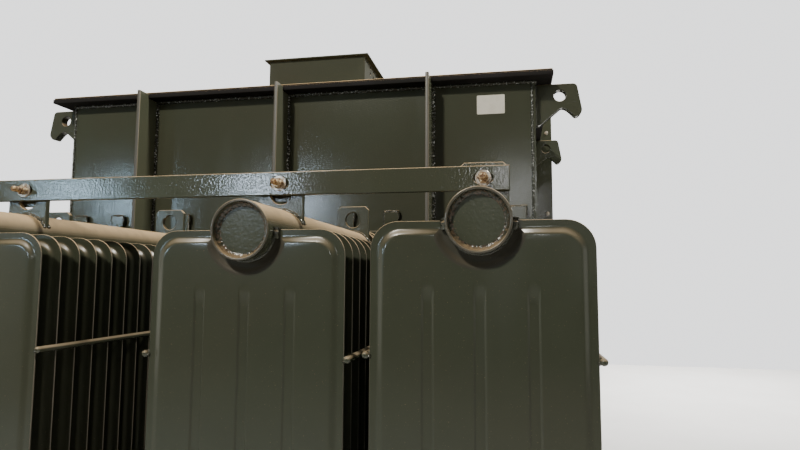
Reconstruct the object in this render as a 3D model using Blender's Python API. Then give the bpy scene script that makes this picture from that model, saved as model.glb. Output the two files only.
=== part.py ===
"""An oil-filled power transformer with a welded tank and banks of pressed-panel radiators.

The tank's front wall faces -Y. Four radiator banks stand off it on round header pipes, and one
flat bar ties their lugs together. The far side carries a closed, bolted terminal compartment.
Metres, +Z up. Lengths along Y are counted from the tank's front wall, heights from the ground.
"""

import math

import bmesh
import bpy
from mathutils import Vector

# Fit between neighbouring pieces, and how far a cut runs past the face it opens
GAP = 0.0003
CUT_OVERRUN = 0.010

# Tank
TANK_LENGTH = 1.390
TANK_DEPTH = 0.714
TANK_TOP = 2.126
WALL = 0.008
FLOOR_PLATE = 0.012
SKID_HEIGHT = 0.100
SKID_WIDTH = 0.080
SKID_END_INSET = 0.275
SKID_WALL = 0.010

# Rim flange and cover plate
FLANGE_OVERHANG = 0.045
FLANGE_PLATE = 0.012
FLANGE_SEAT = 0.060
COVER_PLATE = 0.005
COVER_INSET = 0.002

# Upright stiffeners on the front wall
STIFFENER_OFF_MIDDLE = 0.00225
STIFFENER_SHIFT = -0.002
STIFFENER_THICK = 0.010
STIFFENER_PROUD = 0.040
STIFFENER_FOOT = 0.060

# Lifting hooks, welded edge-on to the side walls under the rim flange
HOOK_REACH = 0.124
HOOK_ROOT = 0.112
HOOK_THICK = 0.025
HOOK_FRONT_SETBACK = 0.035
HOOK_HOLE_OUT = 0.066
HOOK_HOLE_DROP = 0.032
HOOK_HOLE_R = 0.016
# Outline points as shares of the reach outward and of the root height down
HOOK_SHARES = (
    (0, 0),
    (0.89, 0),
    (1, 0.69),
    (0.91, 0.80),
    (0.84, 0.82),
    (0.76, 0.72),
    (0.66, 0.615),
    (0.56, 0.575),
    (0.10, 1),
    (0, 1),
)

# Radiator banks
BANK_MIDDLE_GAP = 0.195
BANK_GAP = 0.0385
HEADER_R = 0.04445
HEADER_TOP_Z = 1.6685
HEADER_SPACING = 1.400
HEADER_FRONT = -0.779
HEADER_BACK = -0.150
HEADER_RECESS = 0.012
HEADER_RECESS_R = 0.039
HEADER_END_PLATE = 0.008
HEADER_BORE_R = 0.040
HEADER_SIDES = 14
PANEL_COUNT = 14
PANEL_PITCH = 0.04116
HEADER_PROUD = 0.027
PANEL_WIDTH = 0.300
PANEL_CORNER_R = 0.038
PANEL_OVER_AXIS = 0.0015
PANEL_SEAM = 0.010
PANEL_BEVEL = 0.008
PANEL_RIM = 0.0024
PANEL_BODY = 0.004
PANEL_NOTCH_R = 0.053
PANEL_NOTCH_STEPS = 5
PANEL_CORNER_STEPS = 3
INNER_CORNER_STEPS = 2
RIGHT_BANK_FORWARD = 0.0077
RIGHT_BANK_RAISE = 0.0087

# Pressed grooves between the flutes of a front panel
GROOVE_COUNT = 3
GROOVE_PITCH = 0.070
GROOVE_WIDTH = 0.017
GROOVE_DEPTH = 0.003
GROOVE_MARGIN = 0.080

# Valves and stubs between a header and the tank wall
VALVE_FLANGE_R = 0.055
VALVE_FLANGE = 0.012
VALVE_BODY_R = 0.050
VALVE_STUB_R = 0.0445
VALVE_SIDES = 12
EYE_SIDES = 16

# Nozzle plates on the tank wall, with two upright ears each
NOZZLE_HALF_WIDTH = 0.081
NOZZLE_LOW = 0.084
NOZZLE_HIGH = 0.060
EAR_OUT = 0.062
EAR_WIDTH = 0.038
EAR_THICK = 0.014
EAR_TOP = 0.112

# Lug plates that sit astride a header
LUG_WIDTH = 0.079
LUG_THICK = 0.010
LUG_TOP = 0.107
LUG_CHAMFER = 0.009
LUG_HOLE_R = 0.019
LUG_HOLE_UP = 0.074
REAR_LUG_SETBACK = 0.026
SADDLE_STEPS = 8

# Tie rods along both sides of a bank
ROD_R = 0.005
ROD_DROP = 0.181
ROD_PROUD = 0.006
ROD_SIDES = 8

# Brace bar across the front lugs
BAR_SETBACK = 0.1412
BAR_THICK = 0.008
BAR_UP = 0.0692
BAR_HEIGHT = 0.0397
BAR_END_OUT = 0.041

# Small box on the cover
BOX_HALF_WIDTH = 0.165
BOX_FRONT = 0.240
BOX_DEPTH = 0.234
BOX_HEIGHT = 0.181
BOX_LID = 0.004
BOX_LID_OVERHANG = 0.013
BOX_WALL = 0.003

# Core and windings inside the tank
CORE_BAR = 0.160
CORE_YOKE = 0.180
CORE_END_CLEARANCE = 0.195
CORE_TOP_CLEARANCE = 0.4534
WINDING_END_CLEARANCE = 0.077
WINDING_GAP = 0.040
WINDING_CLEARANCE = 0.030
WINDING_SIDES = 24

# Terminal compartment on the far side
COMPARTMENT_SIDE_OUT = 0.092
COMPARTMENT_DEPTH = 0.450
COMPARTMENT_RISE = 0.134
COMPARTMENT_SHEET = 0.004
COMPARTMENT_RIM = 0.035
COMPARTMENT_PLATE = 0.006
COMPARTMENT_ROOF = 0.004
COMPARTMENT_ROOF_LIP = 0.020

# Smallest bend left at an outline's corner when it is drawn in
LEAST_BEND_SHARE = 0.25
SHARP_ANGLE = 35

# Looks of the plain finishes
OLIVE = (0.052, 0.055, 0.036)
OLIVE_DARK = (0.030, 0.032, 0.022)
STEEL = (0.30, 0.27, 0.22)

TANK_HALF = TANK_LENGTH / 2
SKID_OUT = TANK_HALF - SKID_END_INSET
BANK_SPREAD_INNER = (BANK_MIDDLE_GAP + PANEL_WIDTH) / 2
BANK_SPREAD_OUTER = BANK_SPREAD_INNER + PANEL_WIDTH + BANK_GAP
STIFFENER_PITCH = (BANK_SPREAD_INNER + BANK_SPREAD_OUTER) / 2 + STIFFENER_OFF_MIDDLE
TANK_FLOOR = SKID_HEIGHT + GAP
FLANGE_TOP = TANK_TOP + GAP + FLANGE_PLATE
FRONT_END = HEADER_FRONT - RIGHT_BANK_FORWARD
COMPARTMENT_FRONT = TANK_DEPTH + FLANGE_OVERHANG + GAP + COMPARTMENT_PLATE + GAP
BACK_END = COMPARTMENT_FRONT + COMPARTMENT_DEPTH + COMPARTMENT_ROOF_LIP
COMPARTMENT_TOP = TANK_TOP + COMPARTMENT_RISE
PANEL_FRONT = HEADER_FRONT + HEADER_PROUD
PANEL_SPAN = (PANEL_COUNT - 1) * PANEL_PITCH
BAR_FRONT = HEADER_FRONT + BAR_SETBACK
BAR_BOTTOM = HEADER_TOP_Z + BAR_UP


def clear_scene():
    for old in list(bpy.data.objects):
        bpy.data.objects.remove(old, do_unlink=True)


def material(name, color, roughness, metallic):
    """A Principled material, made once under its name."""
    found = bpy.data.materials.get(name)
    if found:
        return found
    made = bpy.data.materials.new(name)
    made.use_nodes = True
    shader = made.node_tree.nodes["Principled BSDF"]
    shader.inputs["Base Color"].default_value = (*color, 1.0)
    shader.inputs["Roughness"].default_value = roughness
    shader.inputs["Metallic"].default_value = metallic
    made.diffuse_color = (*color, 1.0)
    return made


def paint():
    return material("olive_paint", OLIVE, 0.35, 0.0)


def dark_paint():
    return material("radiator_paint", OLIVE_DARK, 0.40, 0.0)


def bare_steel():
    return material("bare_steel", STEEL, 0.50, 0.9)


def add_object(name, mesh, finish, origin, smooth=True):
    """Put a mesh in the scene as a named child of the transformer's empty."""
    made = bpy.data.objects.new(name, mesh)
    bpy.context.collection.objects.link(made)
    made.parent = origin
    if finish:
        mesh.materials.append(finish)
    if smooth:
        mesh.shade_smooth()
        mesh.set_sharp_from_angle(angle=math.radians(SHARP_ANGLE))
    return made


def add_cutter(name, mesh, origin):
    """A shape that only takes part in a Boolean."""
    made = add_object(name, mesh, None, origin, smooth=False)
    made.hide_render = True
    made.display_type = "WIRE"
    return made


def combine(target, tool, operation):
    step = target.modifiers.new(tool.name, "BOOLEAN")
    step.operation = operation
    step.object = tool
    step.solver = "EXACT"


def finish_mesh(name, shape):
    bmesh.ops.recalc_face_normals(shape, faces=shape.faces)
    mesh = bpy.data.meshes.new(name)
    shape.to_mesh(mesh)
    shape.free()
    return mesh


def box_into(shape, low, high):
    """Add a closed box between two corners to a bmesh."""
    corners = []
    for x in (low[0], high[0]):
        for y in (low[1], high[1]):
            corners += [shape.verts.new((x, y, z)) for z in (low[2], high[2])]
    for ring in ((0, 1, 3, 2), (4, 6, 7, 5), (0, 4, 5, 1), (2, 3, 7, 6), (0, 2, 6, 4), (1, 5, 7, 3)):
        shape.faces.new([corners[i] for i in ring])


def block(name, finish, origin, low, high):
    """A plain plate or bar between two corners."""
    shape = bmesh.new()
    box_into(shape, low, high)
    return add_object(name, finish_mesh(name, shape), finish, origin, smooth=False)


def loft_into(shape, rings):
    """Skin a row of equal point rings and close both ends."""
    rows = [[shape.verts.new(point) for point in ring] for ring in rings]
    count = len(rows[0])
    for near, far in zip(rows, rows[1:]):
        for i in range(count):
            j = (i + 1) % count
            shape.faces.new((near[i], near[j], far[j], far[i]))
    shape.faces.new(rows[0][::-1])
    shape.faces.new(rows[-1])


def slab_y(outline, low_y, high_y):
    """Rings of an outline in x and z, extruded from low_y to high_y."""
    return [[Vector((x, y, z)) for x, z in outline] for y in (low_y, high_y)]


def arc(centre, radius, start, end, steps):
    """Points on a circle between two angles in degrees."""
    points = []
    for i in range(steps + 1):
        angle = math.radians(start + (end - start) * i / steps)
        points.append((centre[0] + radius * math.cos(angle), centre[1] + radius * math.sin(angle)))
    return points


def cylinder_into(shape, centre_x, centre_z, radius, low_y, high_y, sides):
    """Add a closed cylinder along Y, turned half a side so that no edge lies level."""
    step = 360 / sides
    ring = arc((centre_x, centre_z), radius, step / 2, 360 - step / 2, sides - 1)
    loft_into(shape, slab_y(ring, low_y, high_y))


def turned_into(shape, centre_x, centre_z, profile, sides):
    """Skin a profile of (radius, y) pairs about an axis along Y."""
    step = 360 / sides
    rings = []
    for radius, y in profile:
        ring = arc((centre_x, centre_z), radius, step / 2, 360 - step / 2, sides - 1)
        rings.append([Vector((x, y, z)) for x, z in ring])
    loft_into(shape, rings)


def rounded_rectangle(width, low_z, high_z, radius, inset, steps):
    """Outline in x and z with round corners, drawn in by an inset."""
    half = width / 2 - inset
    bend = max(radius - inset, radius * LEAST_BEND_SHARE)
    low = low_z + inset
    high = high_z - inset
    corners = (
        (half - bend, high - bend, 0),
        (bend - half, high - bend, 90),
        (bend - half, low + bend, 180),
        (half - bend, low + bend, 270),
    )
    outline = []
    for x, z, start in corners:
        outline += arc((x, z), bend, start, start + 90, steps)
    return outline


def make_tank(origin):
    """Four wall plates, a floor and two skids."""
    inner = TANK_HALF - WALL - GAP
    floor_top = TANK_FLOOR + FLOOR_PLATE
    low = floor_top + GAP
    block("tank_floor", paint(), origin, (-TANK_HALF, 0, TANK_FLOOR), (TANK_HALF, TANK_DEPTH, floor_top))
    block("tank_front_wall", paint(), origin, (-inner, 0, low), (inner, WALL, TANK_TOP))
    block("tank_rear_wall", paint(), origin, (-inner, TANK_DEPTH - WALL, low), (inner, TANK_DEPTH, TANK_TOP))
    block("tank_left_wall", paint(), origin, (-TANK_HALF, 0, low), (WALL - TANK_HALF, TANK_DEPTH, TANK_TOP))
    block("tank_right_wall", paint(), origin, (TANK_HALF - WALL, 0, low), (TANK_HALF, TANK_DEPTH, TANK_TOP))
    for name, x in (("skid_left", -SKID_OUT), ("skid_right", SKID_OUT)):
        make_skid(name, x, origin)


def make_skid(name, x, origin):
    """A channel under the tank and the compartment, with its open side outward."""
    half = SKID_WIDTH / 2
    web = SKID_WALL
    side = 1 if x > 0 else -1
    profile = [
        (-half, 0),
        (half, 0),
        (half, web),
        (web - half, web),
        (web - half, SKID_HEIGHT - web),
        (half, SKID_HEIGHT - web),
        (half, SKID_HEIGHT),
        (-half, SKID_HEIGHT),
    ]
    outline = [(x + side * out, z) for out, z in profile]
    shape = bmesh.new()
    loft_into(shape, slab_y(outline, -FLANGE_OVERHANG, COMPARTMENT_FRONT + COMPARTMENT_DEPTH))
    add_object(name, finish_mesh(name, shape), paint(), origin, smooth=False)


def make_rim(origin):
    """The flange frame round the tank's mouth and the cover plate on it."""
    low = TANK_TOP + GAP
    reach = TANK_HALF + FLANGE_OVERHANG
    back = TANK_DEPTH + FLANGE_OVERHANG
    frame = block("rim_flange", paint(), origin, (-reach, -FLANGE_OVERHANG, low), (reach, back, FLANGE_TOP))
    mouth = bmesh.new()
    seat = TANK_HALF - FLANGE_SEAT
    box_into(
        mouth,
        (-seat, FLANGE_SEAT, low - CUT_OVERRUN),
        (seat, TANK_DEPTH - FLANGE_SEAT, FLANGE_TOP + CUT_OVERRUN),
    )
    combine(frame, add_cutter("tank_mouth", finish_mesh("tank_mouth", mouth), origin), "DIFFERENCE")
    edge = reach - COVER_INSET
    block(
        "cover_plate",
        paint(),
        origin,
        (-edge, COVER_INSET - FLANGE_OVERHANG, FLANGE_TOP + GAP),
        (edge, back - COVER_INSET, FLANGE_TOP + GAP + COVER_PLATE),
    )


def make_core(origin):
    """The hidden inner part: a three-limbed core frame with a winding round each limb."""
    low = TANK_FLOOR + FLOOR_PLATE + GAP
    high = TANK_TOP - CORE_TOP_CLEARANCE
    centre_y = TANK_DEPTH / 2
    half = CORE_BAR / 2
    end = TANK_HALF - CORE_END_CLEARANCE
    room = TANK_LENGTH - 2 * (WALL + WINDING_END_CLEARANCE + WINDING_GAP)
    radius = room / 6
    pitch = 2 * radius + WINDING_GAP
    near_corner = (-end, centre_y - half, low)
    frame = block("core_and_windings", bare_steel(), origin, near_corner, (end, centre_y + half, high))
    windings = bmesh.new()
    for place in (-1, 0, 1):
        step = 360 / WINDING_SIDES
        ring = arc((place * pitch, centre_y), radius, 0, 360 - step, WINDING_SIDES - 1)
        bottom = low + CORE_YOKE + WINDING_CLEARANCE
        top = high - CORE_YOKE - WINDING_CLEARANCE
        loft_into(windings, [[Vector((x, y, z)) for x, y in ring] for z in (bottom, top)])
    combine(frame, add_cutter("windings", finish_mesh("windings", windings), origin), "UNION")


def make_stiffeners(origin):
    """Upright flat bars on the front wall, notched round the rim flange."""
    low = TANK_FLOOR + STIFFENER_FOOT
    proud = -FLANGE_OVERHANG - STIFFENER_PROUD
    side = [
        (-GAP, low),
        (-GAP, TANK_TOP - GAP),
        (-FLANGE_OVERHANG - GAP, TANK_TOP - GAP),
        (-FLANGE_OVERHANG - GAP, FLANGE_TOP),
        (proud, FLANGE_TOP),
        (proud, low - proud),
    ]
    for name, place in (("stiffener_left", -1), ("stiffener_middle", 0), ("stiffener_right", 1)):
        x = place * STIFFENER_PITCH + STIFFENER_SHIFT
        shape = bmesh.new()
        half = STIFFENER_THICK / 2
        rings = [[Vector((x + out, y, z)) for y, z in side] for out in (-half, half)]
        loft_into(shape, rings)
        add_object(name, finish_mesh(name, shape), paint(), origin, smooth=False)


def hook_outline(side):
    """A hook plate in x and z, with a flat top, a nose turned down and a sloping lower edge."""
    root = TANK_HALF + GAP
    reach = HOOK_REACH - GAP
    return [(side * (root + reach * out), TANK_TOP - HOOK_ROOT * drop) for out, drop in HOOK_SHARES]


def make_hooks(origin):
    """Four lifting hooks on the side walls, near the tank's corners."""
    eye_z = TANK_TOP - HOOK_HOLE_DROP
    for end, side in (("left", -1), ("right", 1)):
        for face, low_y in (("front", HOOK_FRONT_SETBACK), ("rear", TANK_DEPTH - HOOK_THICK)):
            name = f"hook_{face}_{end}"
            shape = bmesh.new()
            loft_into(shape, slab_y(hook_outline(side), low_y, low_y + HOOK_THICK))
            hook = add_object(name, finish_mesh(name, shape), paint(), origin)
            eye = bmesh.new()
            eye_x = side * (TANK_HALF + HOOK_HOLE_OUT)
            start = low_y - CUT_OVERRUN
            end_y = low_y + HOOK_THICK + CUT_OVERRUN
            cylinder_into(eye, eye_x, eye_z, HOOK_HOLE_R, start, end_y, EYE_SIDES)
            combine(hook, add_cutter(f"{name}_eye", finish_mesh(f"{name}_eye", eye), origin), "DIFFERENCE")


def notched_outline(low_z, high_z, inset, notch_r):
    """A panel's outline with a round notch at each header, or straight there for its rim."""
    plain = rounded_rectangle(PANEL_WIDTH, low_z, high_z, PANEL_CORNER_R, inset, PANEL_CORNER_STEPS)
    corner = PANEL_CORNER_STEPS + 1
    reach = max(notch_r, PANEL_NOTCH_R)
    top_notch = notch_points(high_z - PANEL_OVER_AXIS, high_z - inset, reach, notch_r > 0)
    low_notch = [(-x, low_z + high_z - z) for x, z in top_notch]
    return plain[:corner] + top_notch + plain[corner : 3 * corner] + low_notch + plain[3 * corner :]


def notch_points(axis_z, edge_z, radius, curved):
    """Points from right to left across the top edge, round the header or straight."""
    points = []
    dip = math.degrees(math.asin(max(axis_z - edge_z, 0) / radius))
    for i in range(PANEL_NOTCH_STEPS + 1):
        angle = math.radians(-dip - (180 - 2 * dip) * i / PANEL_NOTCH_STEPS)
        z = axis_z + radius * math.sin(angle) if curved else edge_z
        points.append((radius * math.cos(angle), z))
    return points


def panel_rings(y, low_z, high_z, full):
    """One pressed panel as rings along Y; a full one has its flat seam rim and header notches."""
    crown = PANEL_SEAM + PANEL_BEVEL
    half = PANEL_RIM / 2
    rings = []
    if full:
        stations = [
            (-half - PANEL_BODY, crown, PANEL_NOTCH_R + PANEL_BEVEL),
            (-half, PANEL_SEAM, PANEL_NOTCH_R),
            (-half, 0, 0),
            (half, 0, 0),
            (half, PANEL_SEAM, PANEL_NOTCH_R),
            (half + PANEL_BODY, crown, PANEL_NOTCH_R + PANEL_BEVEL),
        ]
        for offset, inset, notch_r in stations:
            outline = notched_outline(low_z, high_z, inset, notch_r)
            rings.append([Vector((x, y + offset, z)) for x, z in outline])
        return rings
    for offset, inset in ((-half - PANEL_BODY, crown), (0, 0), (half + PANEL_BODY, crown)):
        outline = rounded_rectangle(PANEL_WIDTH, low_z, high_z, PANEL_CORNER_R, inset, INNER_CORNER_STEPS)
        rings.append([Vector((x, y + offset, z)) for x, z in outline])
    return rings


def groove_into(shape, x, face_y, low_z, high_z):
    """A V groove with pointed ends, pressed into a panel's face from the front."""
    half = GROOVE_WIDTH / 2
    over = GROOVE_DEPTH
    deep = face_y + GROOVE_DEPTH
    wide = half * 2
    ring_high = [
        (x - wide, face_y - over, high_z),
        (x + wide, face_y - over, high_z),
        (x, deep, high_z - half),
    ]
    ring_low = [
        (x - wide, face_y - over, low_z),
        (x + wide, face_y - over, low_z),
        (x, deep, low_z + half),
    ]
    loft_into(shape, [ring_high, ring_low])


def make_bank(name, x, forward, rise, origin):
    """A radiator: pressed panels fused on a top and a bottom header pipe."""
    top = HEADER_TOP_Z + rise
    low = top - HEADER_SPACING
    front = PANEL_FRONT - forward
    panel_low = low - PANEL_OVER_AXIS
    panel_high = top + PANEL_OVER_AXIS
    panels = bmesh.new()
    for i in range(PANEL_COUNT):
        loft_into(panels, panel_rings(front + i * PANEL_PITCH, panel_low, panel_high, i == 0))
    mesh = finish_mesh(name, panels)
    bank = add_object(name, mesh, dark_paint(), origin)
    bank.location = (x, 0, 0)

    grooves = bmesh.new()
    face = front - PANEL_RIM / 2 - PANEL_BODY
    for i in range(GROOVE_COUNT):
        groove_x = GROOVE_PITCH * (i - (GROOVE_COUNT - 1) / 2)
        groove_into(grooves, groove_x, face, panel_low + GROOVE_MARGIN, panel_high - GROOVE_MARGIN)
    groove_tool = add_cutter(f"{name}_grooves", finish_mesh(f"{name}_grooves", grooves), origin)
    groove_tool.location = bank.location
    combine(bank, groove_tool, "DIFFERENCE")

    pipes = bmesh.new()
    end = HEADER_FRONT - forward
    profile = [
        (HEADER_RECESS_R, end + HEADER_RECESS),
        (HEADER_RECESS_R, end),
        (HEADER_R, end),
        (HEADER_R, HEADER_BACK),
    ]
    bores = bmesh.new()
    bore_start = end + HEADER_RECESS + HEADER_END_PLATE
    for z in (top, low):
        turned_into(pipes, 0, z, profile, HEADER_SIDES)
        cylinder_into(bores, 0, z, HEADER_BORE_R, bore_start, HEADER_BACK + CUT_OVERRUN, HEADER_SIDES)
    pipe_tool = add_cutter(f"{name}_pipes", finish_mesh(f"{name}_pipes", pipes), origin)
    pipe_tool.location = bank.location
    combine(bank, pipe_tool, "UNION")
    bore_tool = add_cutter(f"{name}_bores", finish_mesh(f"{name}_bores", bores), origin)
    bore_tool.location = bank.location
    combine(bank, bore_tool, "DIFFERENCE")


def make_valves(name, x, rise, origin):
    """Flanged valves and stubs that carry both headers of a bank on the tank wall."""
    start = HEADER_BACK + GAP
    length = -GAP - start
    body_start = start + VALVE_FLANGE
    body_end = start + length / 2
    profile = [
        (VALVE_FLANGE_R, start),
        (VALVE_FLANGE_R, body_start),
        (VALVE_BODY_R, body_start),
        (VALVE_BODY_R, body_end),
        (VALVE_FLANGE_R, body_end),
        (VALVE_FLANGE_R, body_end + VALVE_FLANGE),
        (VALVE_STUB_R, body_end + VALVE_FLANGE),
        (VALVE_STUB_R, start + length),
    ]
    for level, z in (("top", HEADER_TOP_Z + rise), ("bottom", HEADER_TOP_Z + rise - HEADER_SPACING)):
        shape = bmesh.new()
        turned_into(shape, x, z, profile, VALVE_SIDES)
        full_name = f"{name}_{level}_valve"
        valve = add_object(full_name, finish_mesh(full_name, shape), dark_paint(), origin)
        if level == "top":
            combine(valve, make_nozzle_plate(name, x, z, origin), "UNION")


def make_nozzle_plate(name, x, z, origin):
    """The plate where a header meets the tank wall, in one outline with its two ears."""
    inner = EAR_OUT - EAR_WIDTH / 2
    outer = EAR_OUT + EAR_WIDTH / 2
    half = [
        (NOZZLE_HALF_WIDTH, -NOZZLE_LOW),
        (outer, NOZZLE_HIGH),
        (outer, EAR_TOP),
        (inner, EAR_TOP),
        (inner, NOZZLE_HIGH),
    ]
    outline = half + [(-out, up) for out, up in reversed(half)]
    outline = [(x + out, z + up) for out, up in outline]
    shape = bmesh.new()
    loft_into(shape, slab_y(outline, -EAR_THICK, -GAP))
    return add_cutter(f"{name}_nozzle_plate", finish_mesh(f"{name}_nozzle_plate", shape), origin)


def lug_outline(x, z):
    """A lug plate in x and z: saddle foot, straight sides and cut top corners."""
    pipe = HEADER_R + GAP
    half = min(LUG_WIDTH / 2, HEADER_R)
    # The saddle's chords, not its points, have to clear the pipe
    half_step = math.asin(half / pipe) / SADDLE_STEPS
    radius = pipe / math.cos(half_step)
    foot = math.degrees(math.acos(half / radius))
    saddle = arc((x, z), radius, 180 - foot, foot, SADDLE_STEPS)
    top = z + LUG_TOP
    return saddle + [
        (x + half, top - LUG_CHAMFER),
        (x + half - LUG_CHAMFER, top),
        (x - half + LUG_CHAMFER, top),
        (x - half, top - LUG_CHAMFER),
    ]


def make_lug(name, x, y, z, origin):
    shape = bmesh.new()
    loft_into(shape, slab_y(lug_outline(x, z), y, y + LUG_THICK))
    lug = add_object(name, finish_mesh(name, shape), dark_paint(), origin)
    hole = bmesh.new()
    start = y - CUT_OVERRUN
    end = y + LUG_THICK + CUT_OVERRUN
    cylinder_into(hole, x, z + LUG_HOLE_UP, LUG_HOLE_R, start, end, EYE_SIDES)
    combine(lug, add_cutter(f"{name}_hole", finish_mesh(f"{name}_hole", hole), origin), "DIFFERENCE")


def make_rods(name, x, forward, rise, origin):
    """Round tie rods that lie against the panels' edges."""
    z = HEADER_TOP_Z + rise - ROD_DROP
    start = PANEL_FRONT - forward - ROD_PROUD
    end = PANEL_FRONT - forward + PANEL_SPAN + ROD_PROUD
    out = PANEL_WIDTH / 2 + ROD_R + GAP
    for side_name, side in (("left", -1), ("right", 1)):
        shape = bmesh.new()
        cylinder_into(shape, x + side * out, z, ROD_R, start, end, ROD_SIDES)
        rod_name = f"{name}_rod_{side_name}"
        add_object(rod_name, finish_mesh(rod_name, shape), dark_paint(), origin)


def make_radiators(origin):
    """Four banks in a row, each with its valves, lugs and rods."""
    places = (
        (-BANK_SPREAD_OUTER, 0, 0),
        (-BANK_SPREAD_INNER, 0, 0),
        (BANK_SPREAD_INNER, 0, 0),
        (BANK_SPREAD_OUTER, RIGHT_BANK_FORWARD, RIGHT_BANK_RAISE),
    )
    for number, (x, forward, rise) in enumerate(places, start=1):
        name = f"radiator_{number}"
        make_bank(name, x, forward, rise, origin)
        make_valves(name, x, rise, origin)
        make_lug(f"{name}_front_lug", x, BAR_FRONT + BAR_THICK + GAP, HEADER_TOP_Z + rise, origin)
        make_lug(f"{name}_rear_lug", x, HEADER_BACK - REAR_LUG_SETBACK, HEADER_TOP_Z + rise, origin)
        make_rods(name, x, forward, rise, origin)


def make_brace(origin):
    """The flat bar bolted across the front lugs."""
    end = BANK_SPREAD_OUTER + BAR_END_OUT
    far_corner = (end, BAR_FRONT + BAR_THICK, BAR_BOTTOM + BAR_HEIGHT)
    block("brace_bar", paint(), origin, (-end, BAR_FRONT, BAR_BOTTOM), far_corner)


def make_cover_box(origin):
    """A sheet box on the cover, open below, with a thin overhanging lid."""
    low = FLANGE_TOP + GAP + COVER_PLATE + GAP
    back = BOX_FRONT + BOX_DEPTH
    high = low + BOX_HEIGHT
    box = block("cover_box", paint(), origin, (-BOX_HALF_WIDTH, BOX_FRONT, low), (BOX_HALF_WIDTH, back, high))
    inside = bmesh.new()
    box_into(
        inside,
        (BOX_WALL - BOX_HALF_WIDTH, BOX_FRONT + BOX_WALL, low - CUT_OVERRUN),
        (BOX_HALF_WIDTH - BOX_WALL, back - BOX_WALL, high + CUT_OVERRUN),
    )
    tool = add_cutter("cover_box_inside", finish_mesh("cover_box_inside", inside), origin)
    combine(box, tool, "DIFFERENCE")
    lid_low = high + GAP
    block(
        "cover_box_lid",
        paint(),
        origin,
        (-BOX_HALF_WIDTH - BOX_LID_OVERHANG, BOX_FRONT - BOX_LID_OVERHANG, lid_low),
        (BOX_HALF_WIDTH + BOX_LID_OVERHANG, back + BOX_LID_OVERHANG, lid_low + BOX_LID),
    )


def make_compartment(origin):
    """The closed terminal compartment that stands off the tank's far side on three bars."""
    plate_y = TANK_DEPTH + FLANGE_OVERHANG + GAP
    shell_y = COMPARTMENT_FRONT
    bar_low = TANK_FLOOR + FLOOR_PLATE + STIFFENER_FOOT
    for name, place in (("rear_bar_left", -1), ("rear_bar_middle", 0), ("rear_bar_right", 1)):
        x = place * STIFFENER_PITCH
        near_corner = (x - STIFFENER_THICK / 2, TANK_DEPTH + GAP, bar_low)
        far_corner = (x + STIFFENER_THICK / 2, plate_y - GAP, TANK_TOP - GAP)
        block(name, paint(), origin, near_corner, far_corner)
    outer = TANK_HALF + COMPARTMENT_SIDE_OUT
    block(
        "compartment_plate",
        paint(),
        origin,
        (-outer, plate_y, TANK_FLOOR),
        (outer, plate_y + COMPARTMENT_PLATE, COMPARTMENT_TOP),
    )
    inner = outer - COMPARTMENT_RIM
    back = shell_y + COMPARTMENT_DEPTH
    low = TANK_FLOOR
    high = COMPARTMENT_TOP - COMPARTMENT_RIM
    shell = block("compartment_shell", paint(), origin, (-inner, shell_y, low), (inner, back, high))
    sheet = COMPARTMENT_SHEET
    inside = bmesh.new()
    box_into(
        inside,
        (sheet - inner, shell_y - CUT_OVERRUN, low + sheet),
        (inner - sheet, back - sheet, high - sheet),
    )
    tool = add_cutter("compartment_inside", finish_mesh("compartment_inside", inside), origin)
    combine(shell, tool, "DIFFERENCE")
    block(
        "compartment_roof",
        paint(),
        origin,
        (-inner - COMPARTMENT_ROOF_LIP, shell_y, high + GAP),
        (inner + COMPARTMENT_ROOF_LIP, back + COMPARTMENT_ROOF_LIP, high + GAP + COMPARTMENT_ROOF),
    )


def make_transformer():
    clear_scene()
    origin = bpy.data.objects.new("transformer", None)
    bpy.context.collection.objects.link(origin)
    origin.location = (0, -(FRONT_END + BACK_END) / 2, 0)
    make_tank(origin)
    make_core(origin)
    make_rim(origin)
    make_stiffeners(origin)
    make_hooks(origin)
    make_radiators(origin)
    make_brace(origin)
    make_cover_box(origin)
    make_compartment(origin)


make_transformer()
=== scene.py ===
"""Looks of the power transformer: pressed radiator panels, pipes, plates, welds, bolts, paint and light."""

import math
import random

import bmesh
import bpy
from mathutils import Matrix, Vector, noise


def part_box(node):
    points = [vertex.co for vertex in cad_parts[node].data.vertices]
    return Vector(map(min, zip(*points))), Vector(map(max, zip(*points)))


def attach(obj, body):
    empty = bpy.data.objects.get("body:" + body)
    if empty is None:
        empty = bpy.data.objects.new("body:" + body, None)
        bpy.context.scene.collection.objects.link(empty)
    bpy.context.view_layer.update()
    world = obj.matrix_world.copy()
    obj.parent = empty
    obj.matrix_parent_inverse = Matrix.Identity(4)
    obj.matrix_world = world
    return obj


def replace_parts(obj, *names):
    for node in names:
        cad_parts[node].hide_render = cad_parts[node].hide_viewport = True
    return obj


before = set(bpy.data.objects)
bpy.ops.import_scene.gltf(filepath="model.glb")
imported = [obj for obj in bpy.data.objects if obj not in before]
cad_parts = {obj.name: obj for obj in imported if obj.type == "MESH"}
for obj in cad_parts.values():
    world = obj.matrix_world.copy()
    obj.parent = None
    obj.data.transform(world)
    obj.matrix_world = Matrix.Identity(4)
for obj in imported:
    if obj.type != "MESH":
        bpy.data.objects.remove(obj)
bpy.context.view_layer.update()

random.seed(7)

# Camera, solved from the photograph: focal length in pixels of an 800 pixel wide image
PHOTO_WIDTH = 800
FOCAL_PIXELS = 580.0
SENSOR_WIDTH = 36.0
CAMERA_PLACE = (0.628, -1.7667, 1.600)
CAMERA_YAW = 10.896
CAMERA_PITCH = 5.284
CAMERA_ROLL = 0.30
CLIP_START = 0.05

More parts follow.
